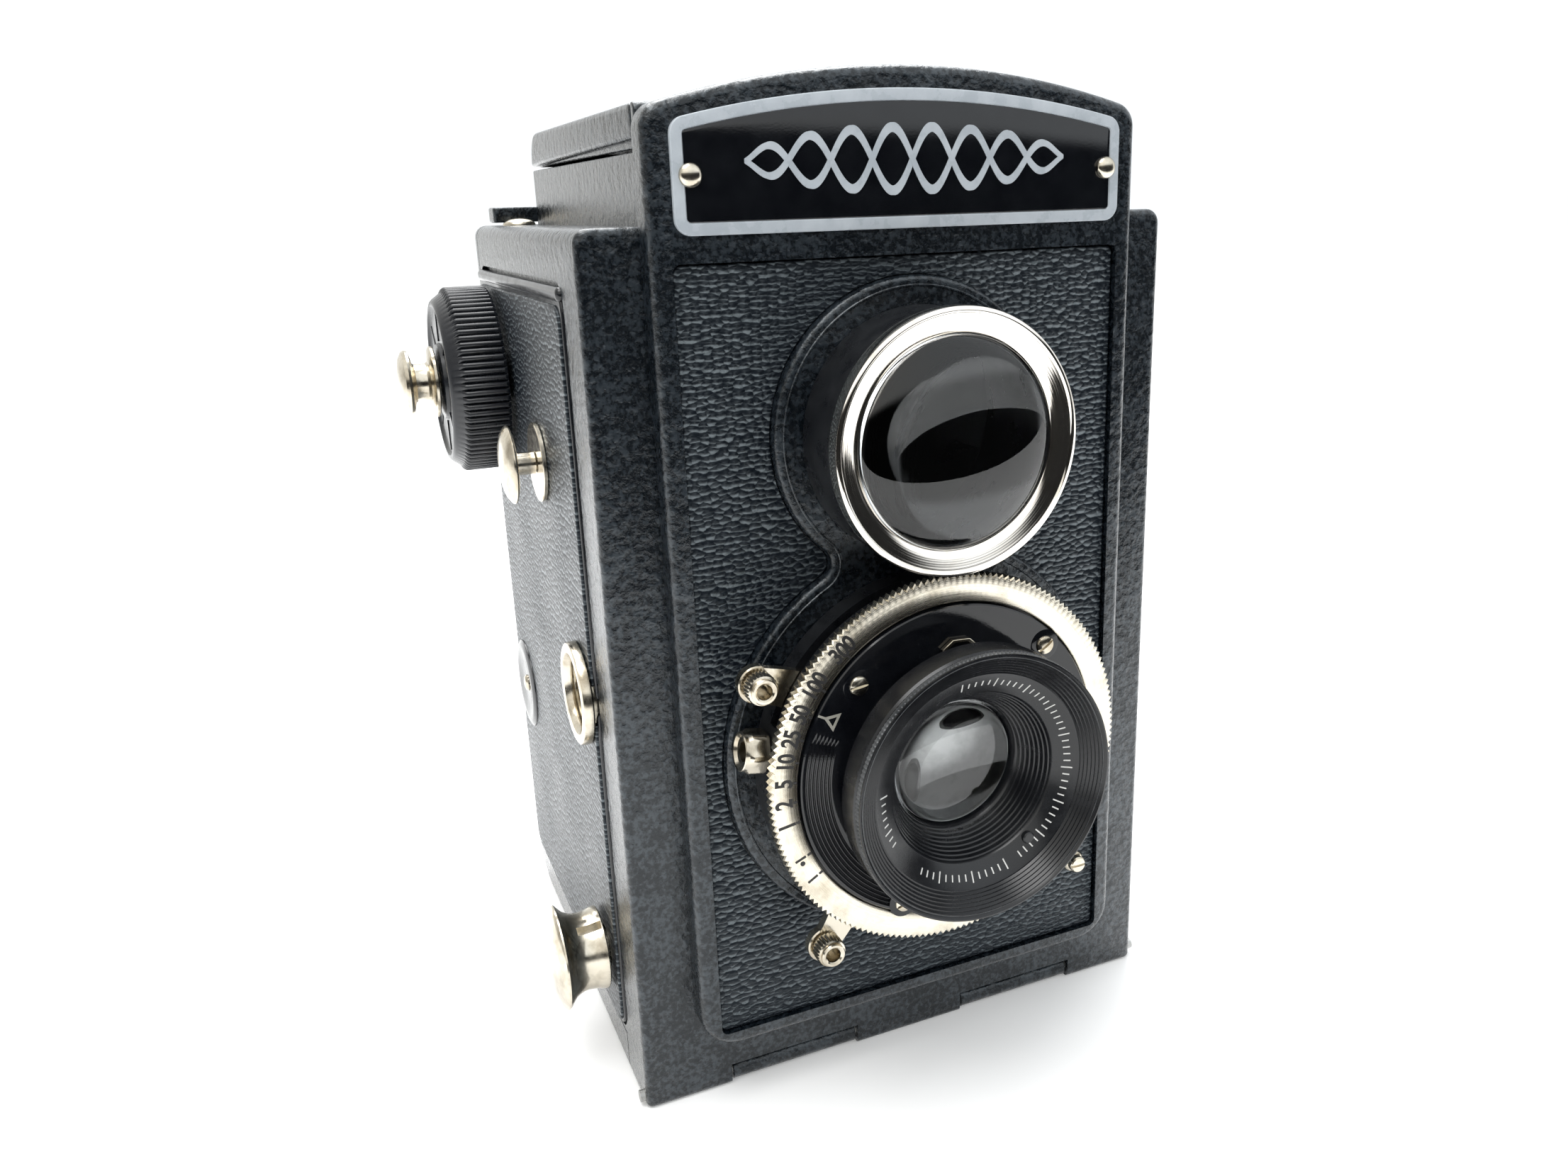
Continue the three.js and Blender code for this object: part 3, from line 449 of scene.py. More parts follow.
LENS_BLACK = paint_material("lens_black", (0.004, 0.0045, 0.006), (0.009, 0.010, 0.012), (0.20, 0.30))
# Lighter grey than the other blacks for the knurled focus grip: a painted highlight standing in for the light its
# knurls catch.
KNURL_SHEEN_GREY = paint_material("knurl_painted_sheen", (0.05, 0.054, 0.058), (0.12, 0.125, 0.13), (0.22, 0.34))
BAKELITE = paint_material("moulded_black", (0.005, 0.006, 0.009), (0.013, 0.015, 0.019), (0.20, 0.32))
MARKING = paint_material("white_marking", (0.55, 0.55, 0.53), (0.72, 0.72, 0.70), (0.4, 0.5))
PALE_PAINT = paint_material("pale_marking", (0.30, 0.29, 0.25), (0.38, 0.37, 0.33), (0.3, 0.4))
BLACK_INK = paint_material("black_marking", (0.01, 0.01, 0.011), (0.03, 0.028, 0.026), (0.4, 0.6))
GLASS = glass_material("lens_glass", (0.93, 0.95, 0.96))
SILVERED = metal_material("silvered_glass", (0.90, 0.91, 0.92), (0.84, 0.85, 0.86), (0.01, 0.03), scratch=0.000001)
RUBY = paint_material("ruby_window", (0.18, 0.004, 0.004), (0.25, 0.01, 0.01), (0.08, 0.14), coat=0.4)


# Casing

def outer_casing(name):
    """The whole outer form of the box, edges rounded, that both the shell and the door are cut from."""
    profile = ([(0, 0), (0, TOP), (DEPTH, TOP)] + arc(DEPTH - 8, 8, 8, 0, -math.pi / 2, 14))
    points = [(x, y, z) for x in (-HALF, HALF) for y, z in profile]
    count = len(profile)
    faces = [list(range(count)), list(range(count, 2 * count))]
    faces += [(i, (i + 1) % count, count + (i + 1) % count, count + i) for i in range(count)]
    obj = solid(name, (points, faces))
    mesh = bmesh.new()
    mesh.from_mesh(obj.data)

    def sharp(edge):
        return edge.calc_face_angle(0) > math.radians(50)

    along_top = [e for e in mesh.edges if sharp(e) and all(abs(v.co.z - TOP * MM) < 1e-6 for v in e.verts)
                 and abs(e.verts[0].co.x - e.verts[1].co.x) < 1e-6]
    bmesh.ops.bevel(mesh, geom=along_top, offset=1.7 * MM, segments=6, profile=0.5, affect="EDGES")
    rest = [e for e in mesh.edges if sharp(e)]
    bmesh.ops.bevel(mesh, geom=rest, offset=0.8 * MM, segments=4, profile=0.5, affect="EDGES")
    mesh.to_mesh(obj.data)
    mesh.free()
    return obj


def door_region(name, gap, half):
    """Everything behind and below the seam between shell and door."""
    front, height, rear, r = 8.9 - gap, 5.5 + gap, 66.5 - gap, 8
    profile = ([(front, -2), (front, height)] + arc(rear - r, height + r, r, -math.pi / 2, 0, 12)
               + [(rear, TOP + 2), (DEPTH + 3, TOP + 2), (DEPTH + 3, -2)])
    return solid(name, loft(lambda inset: profile, [(0, -half), (0, half)], "side"))


NOTCHES = ((-25.7, -7.7), (8.0, 25.9))


def body_shell():
    shell = outer_casing("shell_box")
    wall = 1.2
    tools = [
        solid("inside", box_shape((-HALF + wall, HALF - wall), (wall, DEPTH + 3), (-3, TOP - wall))),
        door_region("door_room", 0.25, HALF + 4),
        solid("finder_hole", cylinder(12.6, -2, 3, "Y", FINDER)),
        solid("taking_hole", cylinder(12.6, -2, 3, "Y", TAKING)),
        solid("view_hole", box_shape((-20.5, 20.5), (3.5, 41.5), (TOP - 4, TOP + 2))),
        solid("wind_hole", cylinder(3.5, -HALF - 3, -HALF + 3, "X", WIND)),
        solid("supply_hole", cylinder(2.6, -HALF - 3, -HALF + 3, "X", SUPPLY)),
        solid("bush_hole", cylinder(5.9, -HALF - 3, -HALF + 3, "X", TRIPOD)),
    ]
    tools += [solid("notch", box_shape(span, (-1, 3.3), (-1, 2.95))) for span in NOTCHES]
    low, high = extent_of("side_leather_left")
    pocket = rectangle(low.y - 0.45, high.y + 0.3, low.z - 0.3, high.z + 0.55, 3.3)
    tools += [solid("pocket", loft(pocket, [(0, side * (HALF - 0.7)), (0, side * (HALF + 2))], "side"))
              for side in (-1, 1)]
    combine(shell, tools)
    rib = solid("latch_rib", loft(rectangle(-28, 28, 63, 64.4, 0.3), [(0, TOP - 0.3), (0, TOP + 0.8)], "top"))
    combine(shell, [rib], "UNION")
    barrel = solid("hinge_roll", cylinder(1.3, -HALF + 0.6, HALF - 0.6, "X", HINGE, 32))
    combine(barrel, [solid("roll_gap", box_shape(span, (-1, 4), (-1, 4))) for span in NOTCHES])
    combine(shell, [barrel], "UNION")
    finished(shell, "camera_body", ENAMEL, ["body_shell"])


def front_plate():
    face, radius = PLATE_FACE, 1.1
    outline = arched(PLATE_HIGH.x, PLATE_LOW.z, PLATE_HIGH.z, 106, 2.8, 5)
    slab = solid("plate", loft(outline, rounded(0, face, radius, 5)))
    recess = loft(rectangle(-27.7, 27.7, 10.4, 103.8, 0.9), [(0, face - 3), (0, -2.4)])
    hollow = loft(rectangle(-28.6, 28.6, 10, 104, 3), [(0, -1.4), (0, 1)])
    combine(slab, [solid("recess", recess), solid("hollow", hollow)])
    edge = rounded(-2.0, BOSS_FACE, 0.55, 4)
    ridge = [(0.95, BOSS_FACE), (1.05, BOSS_FACE - 0.1), (1.2, BOSS_FACE - 0.1), (1.3, BOSS_FACE)]
    eight = solid("boss", loft(figure_eight(), edge + ridge))
    combine(slab, [eight], "UNION")
    combine(slab, [solid("finder_hole", cylinder(12.6, -9, 2, "Y", FINDER, 96)),
                   solid("taking_hole", cylinder(12.6, -9, 2, "Y", TAKING, 96))])
    finished(slab, "camera_body", ENAMEL, ["front_plate"])


def front_leather():
    sheet = solid("front_skin", loft(rectangle(-27.6, 27.6, 10.5, 103.7, 0.8), rounded(-2.4, LEATHER_FACE, 0.25, 3)))
    combine(sheet, [solid("boss_room", loft(figure_eight(), [(-0.12, -6), (-0.12, 0)]))])
    finished(sheet, "camera_body", FRONT_LEATHER, ["front_leather"])


def side_panels():
    """Each side has a raised panel: a painted frame with a rounded shoulder on top, and a leather skin let in."""
    low, high = extent_of("side_leather_left")
    for side, name in ((-1, "left"), (1, "right")):
        outer = HALF + 0.6
        frame_steps = rounded(side * (HALF - 0.75), side * (outer - 0.35), 0.3, 4)
        panel = solid(f"side_panel_{name}", loft(rectangle(low.y, high.y, low.z, high.z, 3), frame_steps, "side"))
        shoulder = loft(rectangle(low.y, high.y, high.z - 1.7, high.z, 0.84),
                        rounded(side * (HALF - 0.5), side * outer, 0.62, 6), "side")
        combine(panel, [solid("shoulder", shoulder)], "UNION")
        skin = loft(rectangle(low.y + 0.5, high.y - 0.4, low.z + 0.5, high.z - 2.05, 2.4),
                    rounded(side * (HALF + 0.1), side * (outer - 0.02), 0.3, 4), "side")
        skin = solid(f"side_skin_{name}", skin)
        if side < 0:
            for target in (panel, skin):
                holes = [solid("hole", cylinder(r, -HALF - 3, -HALF + 3, "X", spot, 48))
                         for r, spot in ((4, WIND), (3, SUPPLY), (5.9, TRIPOD))]
                combine(target, holes)
        finished(panel, "camera_body", SHOULDER)
        finished(skin, "camera_body", SIDE_LEATHER, [f"side_leather_{name}"])
    x = -HALF - 0.6
    dish = lathe([(0, x + 0.3), (7.0, x + 0.3), (6.9, x - 0.15), (6.3, x - 0.45), (5.6, x - 0.5), (4.9, x - 0.42),
                  (3.6, x - 0.18), (1.6, x - 0.1), (0, x - 0.1)], "X", DISH, 96)
    finished(solid("side_dish", dish), "camera_body", SHOULDER)
    rivet = lathe([(0, x), (1.3, x), (1.3, x - 0.2), (1.0, x - 0.5), (0.5, x - 0.62), (0, x - 0.65)], "X", DISH, 32)
    finished(solid("dish_rivet", rivet), "camera_body", NICKEL)


SHOULDER = paint_material("smooth_black_paint", (0.006, 0.007, 0.009), (0.02, 0.021, 0.024), (0.12, 0.24), 0.00002)


def badge():
    low, high = extent_of("badge_plate")
    outline = arched(high.x, low.z, high.z, 118, 1.8, 1.8)
    back, front = high.y, low.y
    rim = rounded(back, front, 0.15, 3) + [(1.2, front), (1.32, front + 0.16)]
    base = solid("badge_border", loft(outline, rim))
    finished(base, "camera_body", BADGE_METAL, ["badge_plate"])
    field = solid("badge_field", loft(outline, [(1.34, front + 0.3), (1.34, front + 0.1), (1.4, front + 0.07)]))
    finished(field, "camera_body", GLOSS_BLACK)
    for side, name in ((-1, "left"), (1, "right")):
        x, _, z = centre_of(f"badge_rivet_{name}")
        y = front + 0.05
        dome = [(0, y), (1.25, y), (1.25, y - 0.12)] + [
            (1.25 * math.cos(t * math.pi / 16), y - 0.12 - 0.7 * math.sin(t * math.pi / 16)) for t in range(1, 8)]
        rivet = lathe(dome + [(0, y - 0.82)], "Y", (x, z), 48)
        finished(solid(f"badge_dome_{name}", rivet), "camera_body", NICKEL, [f"badge_rivet_{name}"])
    badge_ornament(front + 0.07, (low.z + high.z) / 2)


def badge_ornament(face, z):
    """A plain ornament: two ribbons plaited in waves that die out towards both ends."""
    reach, waves, count = 19.5, 4, 160
    for ribbon in (0, 1):
        upper, lower = [], []
        for i in range(count + 1):
            x = reach * (2 * i / count - 1)
            fade = math.cos(math.pi / 2 * x / reach) ** 0.5 if i not in (0, count) else 0
            phase = math.pi * waves * (x / reach) + math.pi * ribbon
            middle, slope = 3.3 * fade * math.sin(phase), 0.5 + 0.5 * abs(math.cos(phase))
            half = 0.22 + 0.55 * slope * fade
            upper.append((x, z + middle + half))
            lower.append((x, z + middle - half))
        ring = upper + list(reversed(lower))
        shape = loft(lambda inset, path=ring: path, [(0, face), (0, face - 0.08 - 0.02 * ribbon)])
        finished(solid(f"badge_ribbon_{ribbon + 1}", shape), "camera_body", BADGE_METAL)


def top_rivets():
    for name in ("left", "right"):
        x, y, _ = centre_of(f"top_rivet_{name}")
        dome = [(0, TOP - 0.1), (2.3, TOP - 0.1), (2.3, TOP + 0.1)] + [
            (2.3 * math.cos(t * math.pi / 16), TOP + 0.1 + 0.88 * math.sin(t * math.pi / 16)) for t in range(1, 8)]
        rivet = lathe(dome + [(0, TOP + 0.98)], "Z", (x, y), 48)
        finished(solid(f"top_dome_{name}", rivet), "camera_body", NICKEL, [f"top_rivet_{name}"])


# Side fittings

def strap_studs():
    for side, name in ((-1, "left"), (1, "right")):
        base = HALF + 0.6
        profile = [(0, 0), (5.0, 0), (5.1, 0.12), (5.1, 0.5), (5.0, 0.62), (1.6, 0.66), (1.45, 0.8), (1.45, 3.2),
                   (1.6, 3.4), (4.7, 3.5), (4.95, 3.62), (5.0, 3.8), (4.9, 4.02), (4.2, 4.5), (3.1, 4.84),
                   (1.6, 5.02), (0, 5.08)]
        stud = lathe([(r, side * (base + h)) for r, h in profile], "X", STRAP, 96)
        finished(solid(f"strap_button_{name}", stud), "camera_body", NICKEL, [f"strap_stud_{name}"])


def tripod_bush():
    face = -HALF - 2
    thread = []
    for i in range(10):
        thread += [(4.76, face + 0.9 + 0.5 * i), (5.05, face + 1.15 + 0.5 * i)]
    bush = lathe([(0, -31.5), (5.6, -31.5), (5.6, -37.6), (6.3, -37.6), (6.5, -37.8), (6.5, face + 0.5),
                  (6.35, face + 0.15), (6.05, face), (5.5, face), (5.15, face + 0.12), (4.9, face + 0.5)]
                 + thread + [(4.7, -33), (0, -33)], "X", TRIPOD, 96)
    finished(solid("bush", bush), "camera_body", NICKEL, ["tripod_bush"])


def supply_knob():
    profile = [(0, -45.3), (2, -45.22), (4.2, -44.95), (5.8, -44.5), (6.55, -44.12), (6.78, -43.9), (6.8, -43.7),
               (6.6, -43.45), (6.15, -43.1), (5.6, -42.6), (5.25, -42.0), (5.05, -41.4), (5.0, -40.8), (5.05, -40.2),
               (5.15, -39.6), (5.3, -39.1), (5.4, -38.7), (5.42, -38.35), (5.3, -38.2), (2.2, -38.2), (2.2, -33),
               (1.5, -32.4), (1.5, -30.6), (0, -30.6)]
    knob = solid("supply_pull", lathe(profile, "X", SUPPLY, 96))
    y, z = SUPPLY
    lean = math.radians(28)
    across, out = (math.cos(lean), math.sin(lean)), (-math.sin(lean), math.cos(lean))
    path = [(y + across[0] * u + out[0] * v, z + across[1] * u + out[1] * v)
            for u, v in ((-0.6, 4.2), (0.6, 4.2), (0.6, 7), (-0.6, 7))]
    slot = loft(lambda inset: path, [(0, -41.6), (0, -38.5)], "side")
    finished(combine(knob, [solid("slot", slot)]), "supply_knob", NICKEL, ["supply_knob"])


def wind_knob():
    y, z = WIND
    ribs = 84

    def ribbed(r, h, angle):
        if r < 12.7:
            return r, h
        wave = abs(math.sin(angle * ribs / 2)) ** 0.6
        return r - 0.55 * (1 - wave), h

    profile = [(3, -38.5), (12.6, -38.3), (13.0, -38.7), (13.0, -43.9), (12.75, -44.3), (12.2, -44.6), (11.5, -45.6),
               (11.2, -45.9), (10.9, -46), (10.6, -45.95), (10.3, -45.6), (10.0, -45.5), (5.4, -45.45), (5.2, -45.9),
               (3.2, -46.2), (1.7, -46.2), (1.7, -34.2), (3, -34.2)]
    knob = solid("wind_wheel", lathe(profile, "X", WIND, ribs * 8, ribbed))
    finished(knob, "wind", BAKELITE, ["wind_knob"])
    wedges = 24
    for i in range(wedges):
        angle = 2 * math.pi * i / wedges
        a, b = math.cos(angle), math.sin(angle)
        corners = [(5.6, -0.05), (9.9, -0.32), (9.9, 0.32), (5.6, 0.05)]
        outline = [(y + a * r - b * t, z + b * r + a * t) for r, t in corners]
        ray = loft(lambda inset, ring=outline: ring, [(0, -45.4), (0, -45.62)], "side")
        if i % 3 == 0:
            finished(solid(f"wind_ray_{i // 3 + 1}", ray), "wind", BAKELITE)
    button = [(0, -51.75), (2, -51.65), (3.6, -51.3), (4.45, -50.85), (4.7, -50.4), (4.6, -50.05), (4.1, -49.8),
              (3, -49.6), (2.7, -49.35), (2.6, -48.6), (2.65, -47.8), (2.9, -47.5), (4.7, -47.2), (5.0, -47.0), (5.0, -46.65),
              (4.8, -46.5), (1.3, -46.5), (1.3, -33), (1.15, -33), (1.15, -30.4), (0, -30.4)]
    finished(solid("wind_pull", lathe(button, "X", WIND, 96)), "wind_button", NICKEL, ["wind_button"])


# Finder and hood

def finder():
    tube = lathe([(11, 2.4), (12.3, 2.4), (12.3, -4.4), (14.2, -4.4), (14.4, -4.7), (14.4, -12.2), (14.2, -12.6),
                  (14.2, -13.05), (11, -13.05)], "Y", FINDER, 128)
    finished(solid("finder_barrel", tube), "camera_body", SATIN_BLACK, ["finder_tube"])
    ring = lathe([(11.95, -13.1), (14.7, -12.9), (14.88, -13.05), (14.9, -13.3), (14.9, -14.5), (14.82, -14.8),
                  (14.6, -14.97), (14.35, -15.0), (14.22, -14.93), (14.12, -14.8), (14.0, -14.76), (13.0, -14.45),
                  (12.15, -14.14), (12.0, -14.02), (11.95, -13.8)], "Y", FINDER, 192)
    finished(solid("finder_bezel", ring), "camera_body", FINDER_NICKEL, ["finder_ring"])
    dome = [(11.9 * math.sin(t), -14.0 - 2.75 * (math.cos(t) ** 1.3)) for t in
            [math.pi / 2 * i / 16 for i in range(16, -1, -1)]]
    dome[-1] = (0, dome[-1][1])
    lens = lathe([(0, -12.0), (4, -12.15), (8, -12.5), (11.9, -13.2)] + dome, "Y", FINDER, 128)
    finished(solid("finder_glass", lens), "camera_body", GLASS, ["finder_lens"])


def hood():
    low, high = extent_of("hood_frame")
    top = 115.2
    walls = solid("hood_walls", loft(rectangle(-high.x, high.x, low.y, high.y, 1.0), pillowed(TOP - 0.2, top, 0.25), "top"))
    inner = rectangle(-high.x + 1.2, high.x - 1.2, low.y + 1.2, high.y - 1.2, 0.4)
    combine(walls, [solid("well", loft(inner, [(0, TOP - 2), (0, top + 2)], "top"))])
    hinge = (2, 119)
    for span in ((-18, -15), (15, 18)):
        ear = loft(rectangle(0.6, 3.4, top - 1, 120.4, 1.38), [(0, span[0]), (0, span[1])], "side")
        combine(walls, [solid("ear", ear)], "UNION")
    finished(walls, "camera_body", ENAMEL, ["hood_frame"])
    pin = lathe([(0, -20), (0.45, -20), (0.55, -19.9), (0.55, 19.9), (0.45, 20), (0, 20)], "X", hinge, 24)
    finished(solid("lid_pin", pin), "camera_body", STEEL, ["lid_hinge_pin"])
    lid(hinge)


def lid(hinge):
    low, high = extent_of("hood_lid")
    front, rear = low.y, high.y

    def side_view(inset, lift=(0.0, 0.0), start=0.0):
        r = 4 - inset
        return ([(front + start + inset, low.z + lift[0] + inset), (rear - inset, low.z + lift[1] + inset)]
                + arc(rear - 4, high.z - 4, r, 0, math.pi / 2, 8)
                + arc(front + start + 1, high.z - 1, max(1 - inset, 0.1), math.pi / 2, math.pi, 5))

    half = high.x
    tray = solid("hood_cover", loft(lambda inset: side_view(inset + 0.02, start=1.4),
                                    pillowed(0.9 - half, half - 0.9, 0.3), "side"))
    skin = solid("skin", loft(lambda inset: side_view(inset, (0.85, 0.1), 2.6), pillowed(-half, half, 0.55), "side"))
    lip = solid("lip", loft(lambda inset: side_view(inset, (0.85, 0.85), 1.0)[:1] + [
        (front + 2.3 - inset, low.z + 0.85 + inset), (front + 2.3 - inset, high.z - inset)]
        + side_view(inset, (0.85, 0.85), 1.0)[-6:], pillowed(-half, half, 0.3), "side"))
    combine(tray, [skin], "UNION")
    combine(tray, [lip], "UNION")
    tools = [solid("tray", box_shape((-half + 1.1, half - 1.1), (front + 3.6, rear - 1.1), (low.z - 2, high.z - 1.1)))]
    tools += [solid("ear_room", box_shape(span, (-1, 4.5), (low.z - 1, high.z + 1)))
              for span in ((-18.4, -14.6), (14.6, 18.4))]
    tools.append(solid("pin_room", cylinder(0.75, -20.2, 20.2, "X", hinge, 24)))
    finished(combine(tray, tools), "lid", ENAMEL, ["hood_lid"])


def latch():
    low, high = extent_of("latch_bar")
    bar = solid("latch_slide", loft(rectangle(low.x, high.x, 61.4, 66, 0.6), pillowed(low.z, high.z, 0.3), "top"))
    tongues = [solid("tongue", loft(rectangle(a, b, 65.5, 68.6, 0.5), pillowed(low.z, low.z + 1, 0.2), "top"))
               for a, b in ((-24, -14), (14, 24))]
    combine(bar, tongues, "UNION")
    combine(bar, [solid("groove", box_shape((-31.5, 30), (62.7, 64.7), (low.z - 1, TOP + 1.1)))])
    finished(bar, "latch", ENAMEL, ["latch_bar"])


# Back door

def back_door():
    shell = outer_casing("door_shell")
    combine(shell, [door_region("behind", 0, HALF + 4)], "INTERSECT")
    sheet, wall = 1.5, 1.2
    inner = ([(-3, sheet)] + arc(DEPTH - 8, 8, 8 - sheet, -math.pi / 2, 0, 12)
             + [(DEPTH - sheet, TOP - wall), (-3, TOP - wall)])
    hollow = solid("hollow", loft(lambda inset: inner, [(0, -HALF + wall), (0, HALF - wall)], "side"))
    combine(shell, [hollow])
    tongue = solid("tongue", box_shape((-HALF + 1.6, HALF - 1.6), (3.2, 9.9), (0, sheet)))
    combine(shell, [tongue], "UNION")
    for low, high in NOTCHES:
        a, b = low + 0.3, high - 0.3
        knuckle = solid("knuckle", lathe([(0, a), (1.2, a), (1.3, a + 0.1), (1.3, b - 0.1), (1.2, b), (0, b)],
                                         "X", HINGE, 32))
        web = solid("web", box_shape((a, b), (HINGE[0], 3.7), (0.06, 1.2)))
        combine(shell, [knuckle, web], "UNION")
    window = (0, centre_of("film_window")[2])
    combine(shell, [solid("window_hole", cylinder(5, DEPTH - 4, DEPTH + 2, "Y", window))])
    finished(shell, "door", ENAMEL, ["back_door"])
    skin = solid("rear_skin", loft(rectangle(-34.5, 34.5, 10, 104.5, 2.2), rounded(DEPTH, DEPTH + 0.5, 0.25, 3)))
    combine(skin, [solid("window_room", cylinder(7.4, DEPTH - 2, DEPTH + 2, "Y", window))])
    finished(skin, "door", FRONT_LEATHER, ["back_leather"])
    red = lathe([(0, DEPTH - 1.2), (4.9, DEPTH - 1.2), (4.9, DEPTH - 0.45), (4.7, DEPTH - 0.3), (0, DEPTH - 0.3)],
                "Y", window, 64)
    finished(solid("red_glass", red), "door", RUBY, ["film_window"])
    rim = lathe([(5, DEPTH - 0.1), (7.2, DEPTH - 0.1), (7.2, DEPTH + 0.35), (7, DEPTH + 0.5), (5.2, DEPTH + 0.5),
                 (5, DEPTH + 0.3)], "Y", window, 96)
    finished(solid("window_rim", rim), "door", SHOULDER)
    cover(window)


def cover(window):
    low, high = extent_of("window_cover")
    pivot = (10.5, window[1])

    def outline(inset):
        return (arc(0, window[1], 6.6 - inset, math.pi / 2, 1.5 * math.pi, 32)
                + arc(pivot[0], window[1], 3 - inset, -math.pi / 2, math.pi / 2, 16))

    plate = solid("window_shutter", loft(outline, pillowed(DEPTH + 0.7, DEPTH + 1.5, 0.2)))
    grip = loft(rectangle(-5.2, -4.2, window[1] - 2.5, window[1] + 2.5, 0.45), rounded(DEPTH + 1.3, high.y, 0.25, 3))
    combine(plate, [solid("grip", grip)], "UNION")
    finished(plate, "window_cover", SHOULDER, ["window_cover"])
    y = DEPTH + 1.4
    rivet = lathe([(0, y), (1.4, y), (1.4, y + 0.3), (1.0, y + 0.55), (0, y + 0.68)], "Y", pivot, 32)
    finished(solid("cover_rivet", rivet), "window_cover", NICKEL)


# Shutter

def shutter_housing():
    can = lathe([(9.6, -4.45), (21.9, -4.45), (22, -4.6), (22, -10.8), (21.8, -11), (19.4, -11), (19.4, -12),
                 (18, -12), (18, -9.1), (20.6, -9.1), (20.6, -5.6), (9.6, -5.6)], "Y", TAKING, 160)
    can = solid("shutter_can", can)
    for start, end in ((100, 161), (220, 253)):
        ring = arc(*TAKING, 23.5, math.radians(start), math.radians(end), 16)
        ring += arc(*TAKING, 19.8, math.radians(end), math.radians(start), 16)
        combine(can, [solid("slot", loft(lambda inset, path=ring: path, [(0, -9.1), (0, -7.4)]))])
    finished(can, "camera_body", SATIN_BLACK, ["shutter_housing"])


def speed_ring():
    teeth = 176

    def toothed(r, h, angle):
        if r < 22.5:
            return r, h
        wave = abs(((angle * teeth / (2 * math.pi)) % 1) * 2 - 1)
        return r - 0.42 * wave, h

    profile = [(19.7, -11.15), (22.9, -11.15), (23.15, -11.3), (23.18, -12.25), (22.98, -12.42), (22.45, -12.45),
               (20.0, -12.45), (19.75, -12.3), (19.7, -12.1)]
    ring = solid("speed_dial", lathe(profile, "Y", TAKING, teeth * 6, toothed))
    finished(ring, "speed_ring", RING_NICKEL, ["speed_ring"])
    speeds = (("1", -170.7), ("2", -178.1), ("5", 175.1), ("10", 168.3), ("25", 160.7), ("50", 152.8),
              ("100", 143.3), ("300", 129.8))
    for text, angle in speeds:
        numeral(f"speed_{text}", text, 2.1, 20.5, angle, -12.46, "speed_ring", BLACK_INK)
        dial_tick(f"speed_tick_{text}", angle, 19.85, 20.35, -12.46)
    for index, angle in enumerate((-149.3, -157.9)):
        dial_tick(f"speed_mark_{index + 1}", angle, 20.6, 22.0, -12.46)
        dial_tick(f"speed_mark_tick_{index + 1}", angle, 19.85, 20.35, -12.46)
    x, z = polar(21.3, -156.2)
    dot = solid("speed_mark_dot", cylinder(0.3, -12.44, -12.48, "Y", (x, z), 24))
    finished(dot, "speed_ring", BLACK_INK)


def dial_tick(name, angle, inner, outer, face):
    (x0, z0), (x1, z1) = polar(inner, angle), polar(outer, angle)
    dx, dz = 0.14 * math.sin(math.radians(angle)), 0.14 * math.cos(math.radians(angle))
    ring = [(x0 - dx, z0 + dz), (x0 + dx, z0 - dz), (x1 + dx, z1 - dz), (x1 - dx, z1 + dz)]
    tick = solid(name, loft(lambda inset: ring, [(0, face + 0.02), (0, face - 0.02)]))
    finished(tick, "speed_ring", BLACK_INK)


def numeral(name, text, size, radius, angle, face, body, material):
    """A numeral on a front-facing dial, its top pointing outwards."""
    curve = bpy.data.curves.new(name, "FONT")
    curve.body = text
    curve.size = size * 1.35 * MM
    curve.align_x = "CENTER"
    curve.extrude = 0.015 * MM
    curve.offset = 0.085 * MM
    curve.space_character = 0.95
    obj = bpy.data.objects.new(name, curve)
    bpy.context.scene.collection.objects.link(obj)
    bpy.context.view_layer.update()
    graph = bpy.context.evaluated_depsgraph_get()
    mesh = bpy.data.meshes.new_from_object(obj.evaluated_get(graph))
    bpy.data.objects.remove(obj)
    x, z = polar(radius, angle)
    narrow = Matrix.Diagonal((0.78, 1, 1, 1))
    stand = Matrix.Rotation(math.radians(90), 4, "X")
    turn = Matrix.Rotation(math.radians(90 - angle), 4, "Y")
    spot = Matrix.Translation(place(x, face, z))
    mesh.transform(spot @ turn @ stand @ narrow)
    piece = bpy.data.objects.new(name, mesh)
    bpy.context.scene.collection.objects.link(piece)
    finished(piece, body, material)


def shutter_face():
    """Gloss face with concentric grooves over its left and lower part, carrying the barrel of the focusing cell."""
    grooves, inner, outer = 7, 15.7, 19.1
    radii = [11.8, 12.6, 14.6] + [inner + (outer - inner) * i / (8 * grooves) for i in range(8 * grooves + 1)]

    def cut(r, h, angle):
        degrees = math.degrees(angle) % 360
        if not (inner < r < outer and 158 < degrees < 322 and h < SHUTTER_FACE + 0.1):
            return r, h
        fade = min(1, (degrees - 158) / 2, (322 - degrees) / 2)
        wave = 0.5 - 0.5 * math.cos(2 * math.pi * grooves * (r - inner) / (outer - inner))
        return r, h + 0.22 * fade * wave

    face = SHUTTER_FACE
    profile = [(10.8, -8), (11.8, -8), (11.8, face + 0.8), (19.5, face + 0.8), (19.5, face + 0.15), (19.35, face)]
    profile += [(r, face) for r in reversed(radii[1:])] + [(11.8, face), (11.8, -13.6), (10.8, -13.6)]
    plate = solid("shutter_front", lathe(profile, "Y", TAKING, 256, cut))
    finished(plate, "camera_body", GLOSS_BLACK, ["shutter_face"])
    for i, turn in enumerate((8, 33, 20)):
        face_screw(f"face_screw_{i + 1}", turn)
    x, z = polar(17.75, 151.2)
    index_mark(x, z)


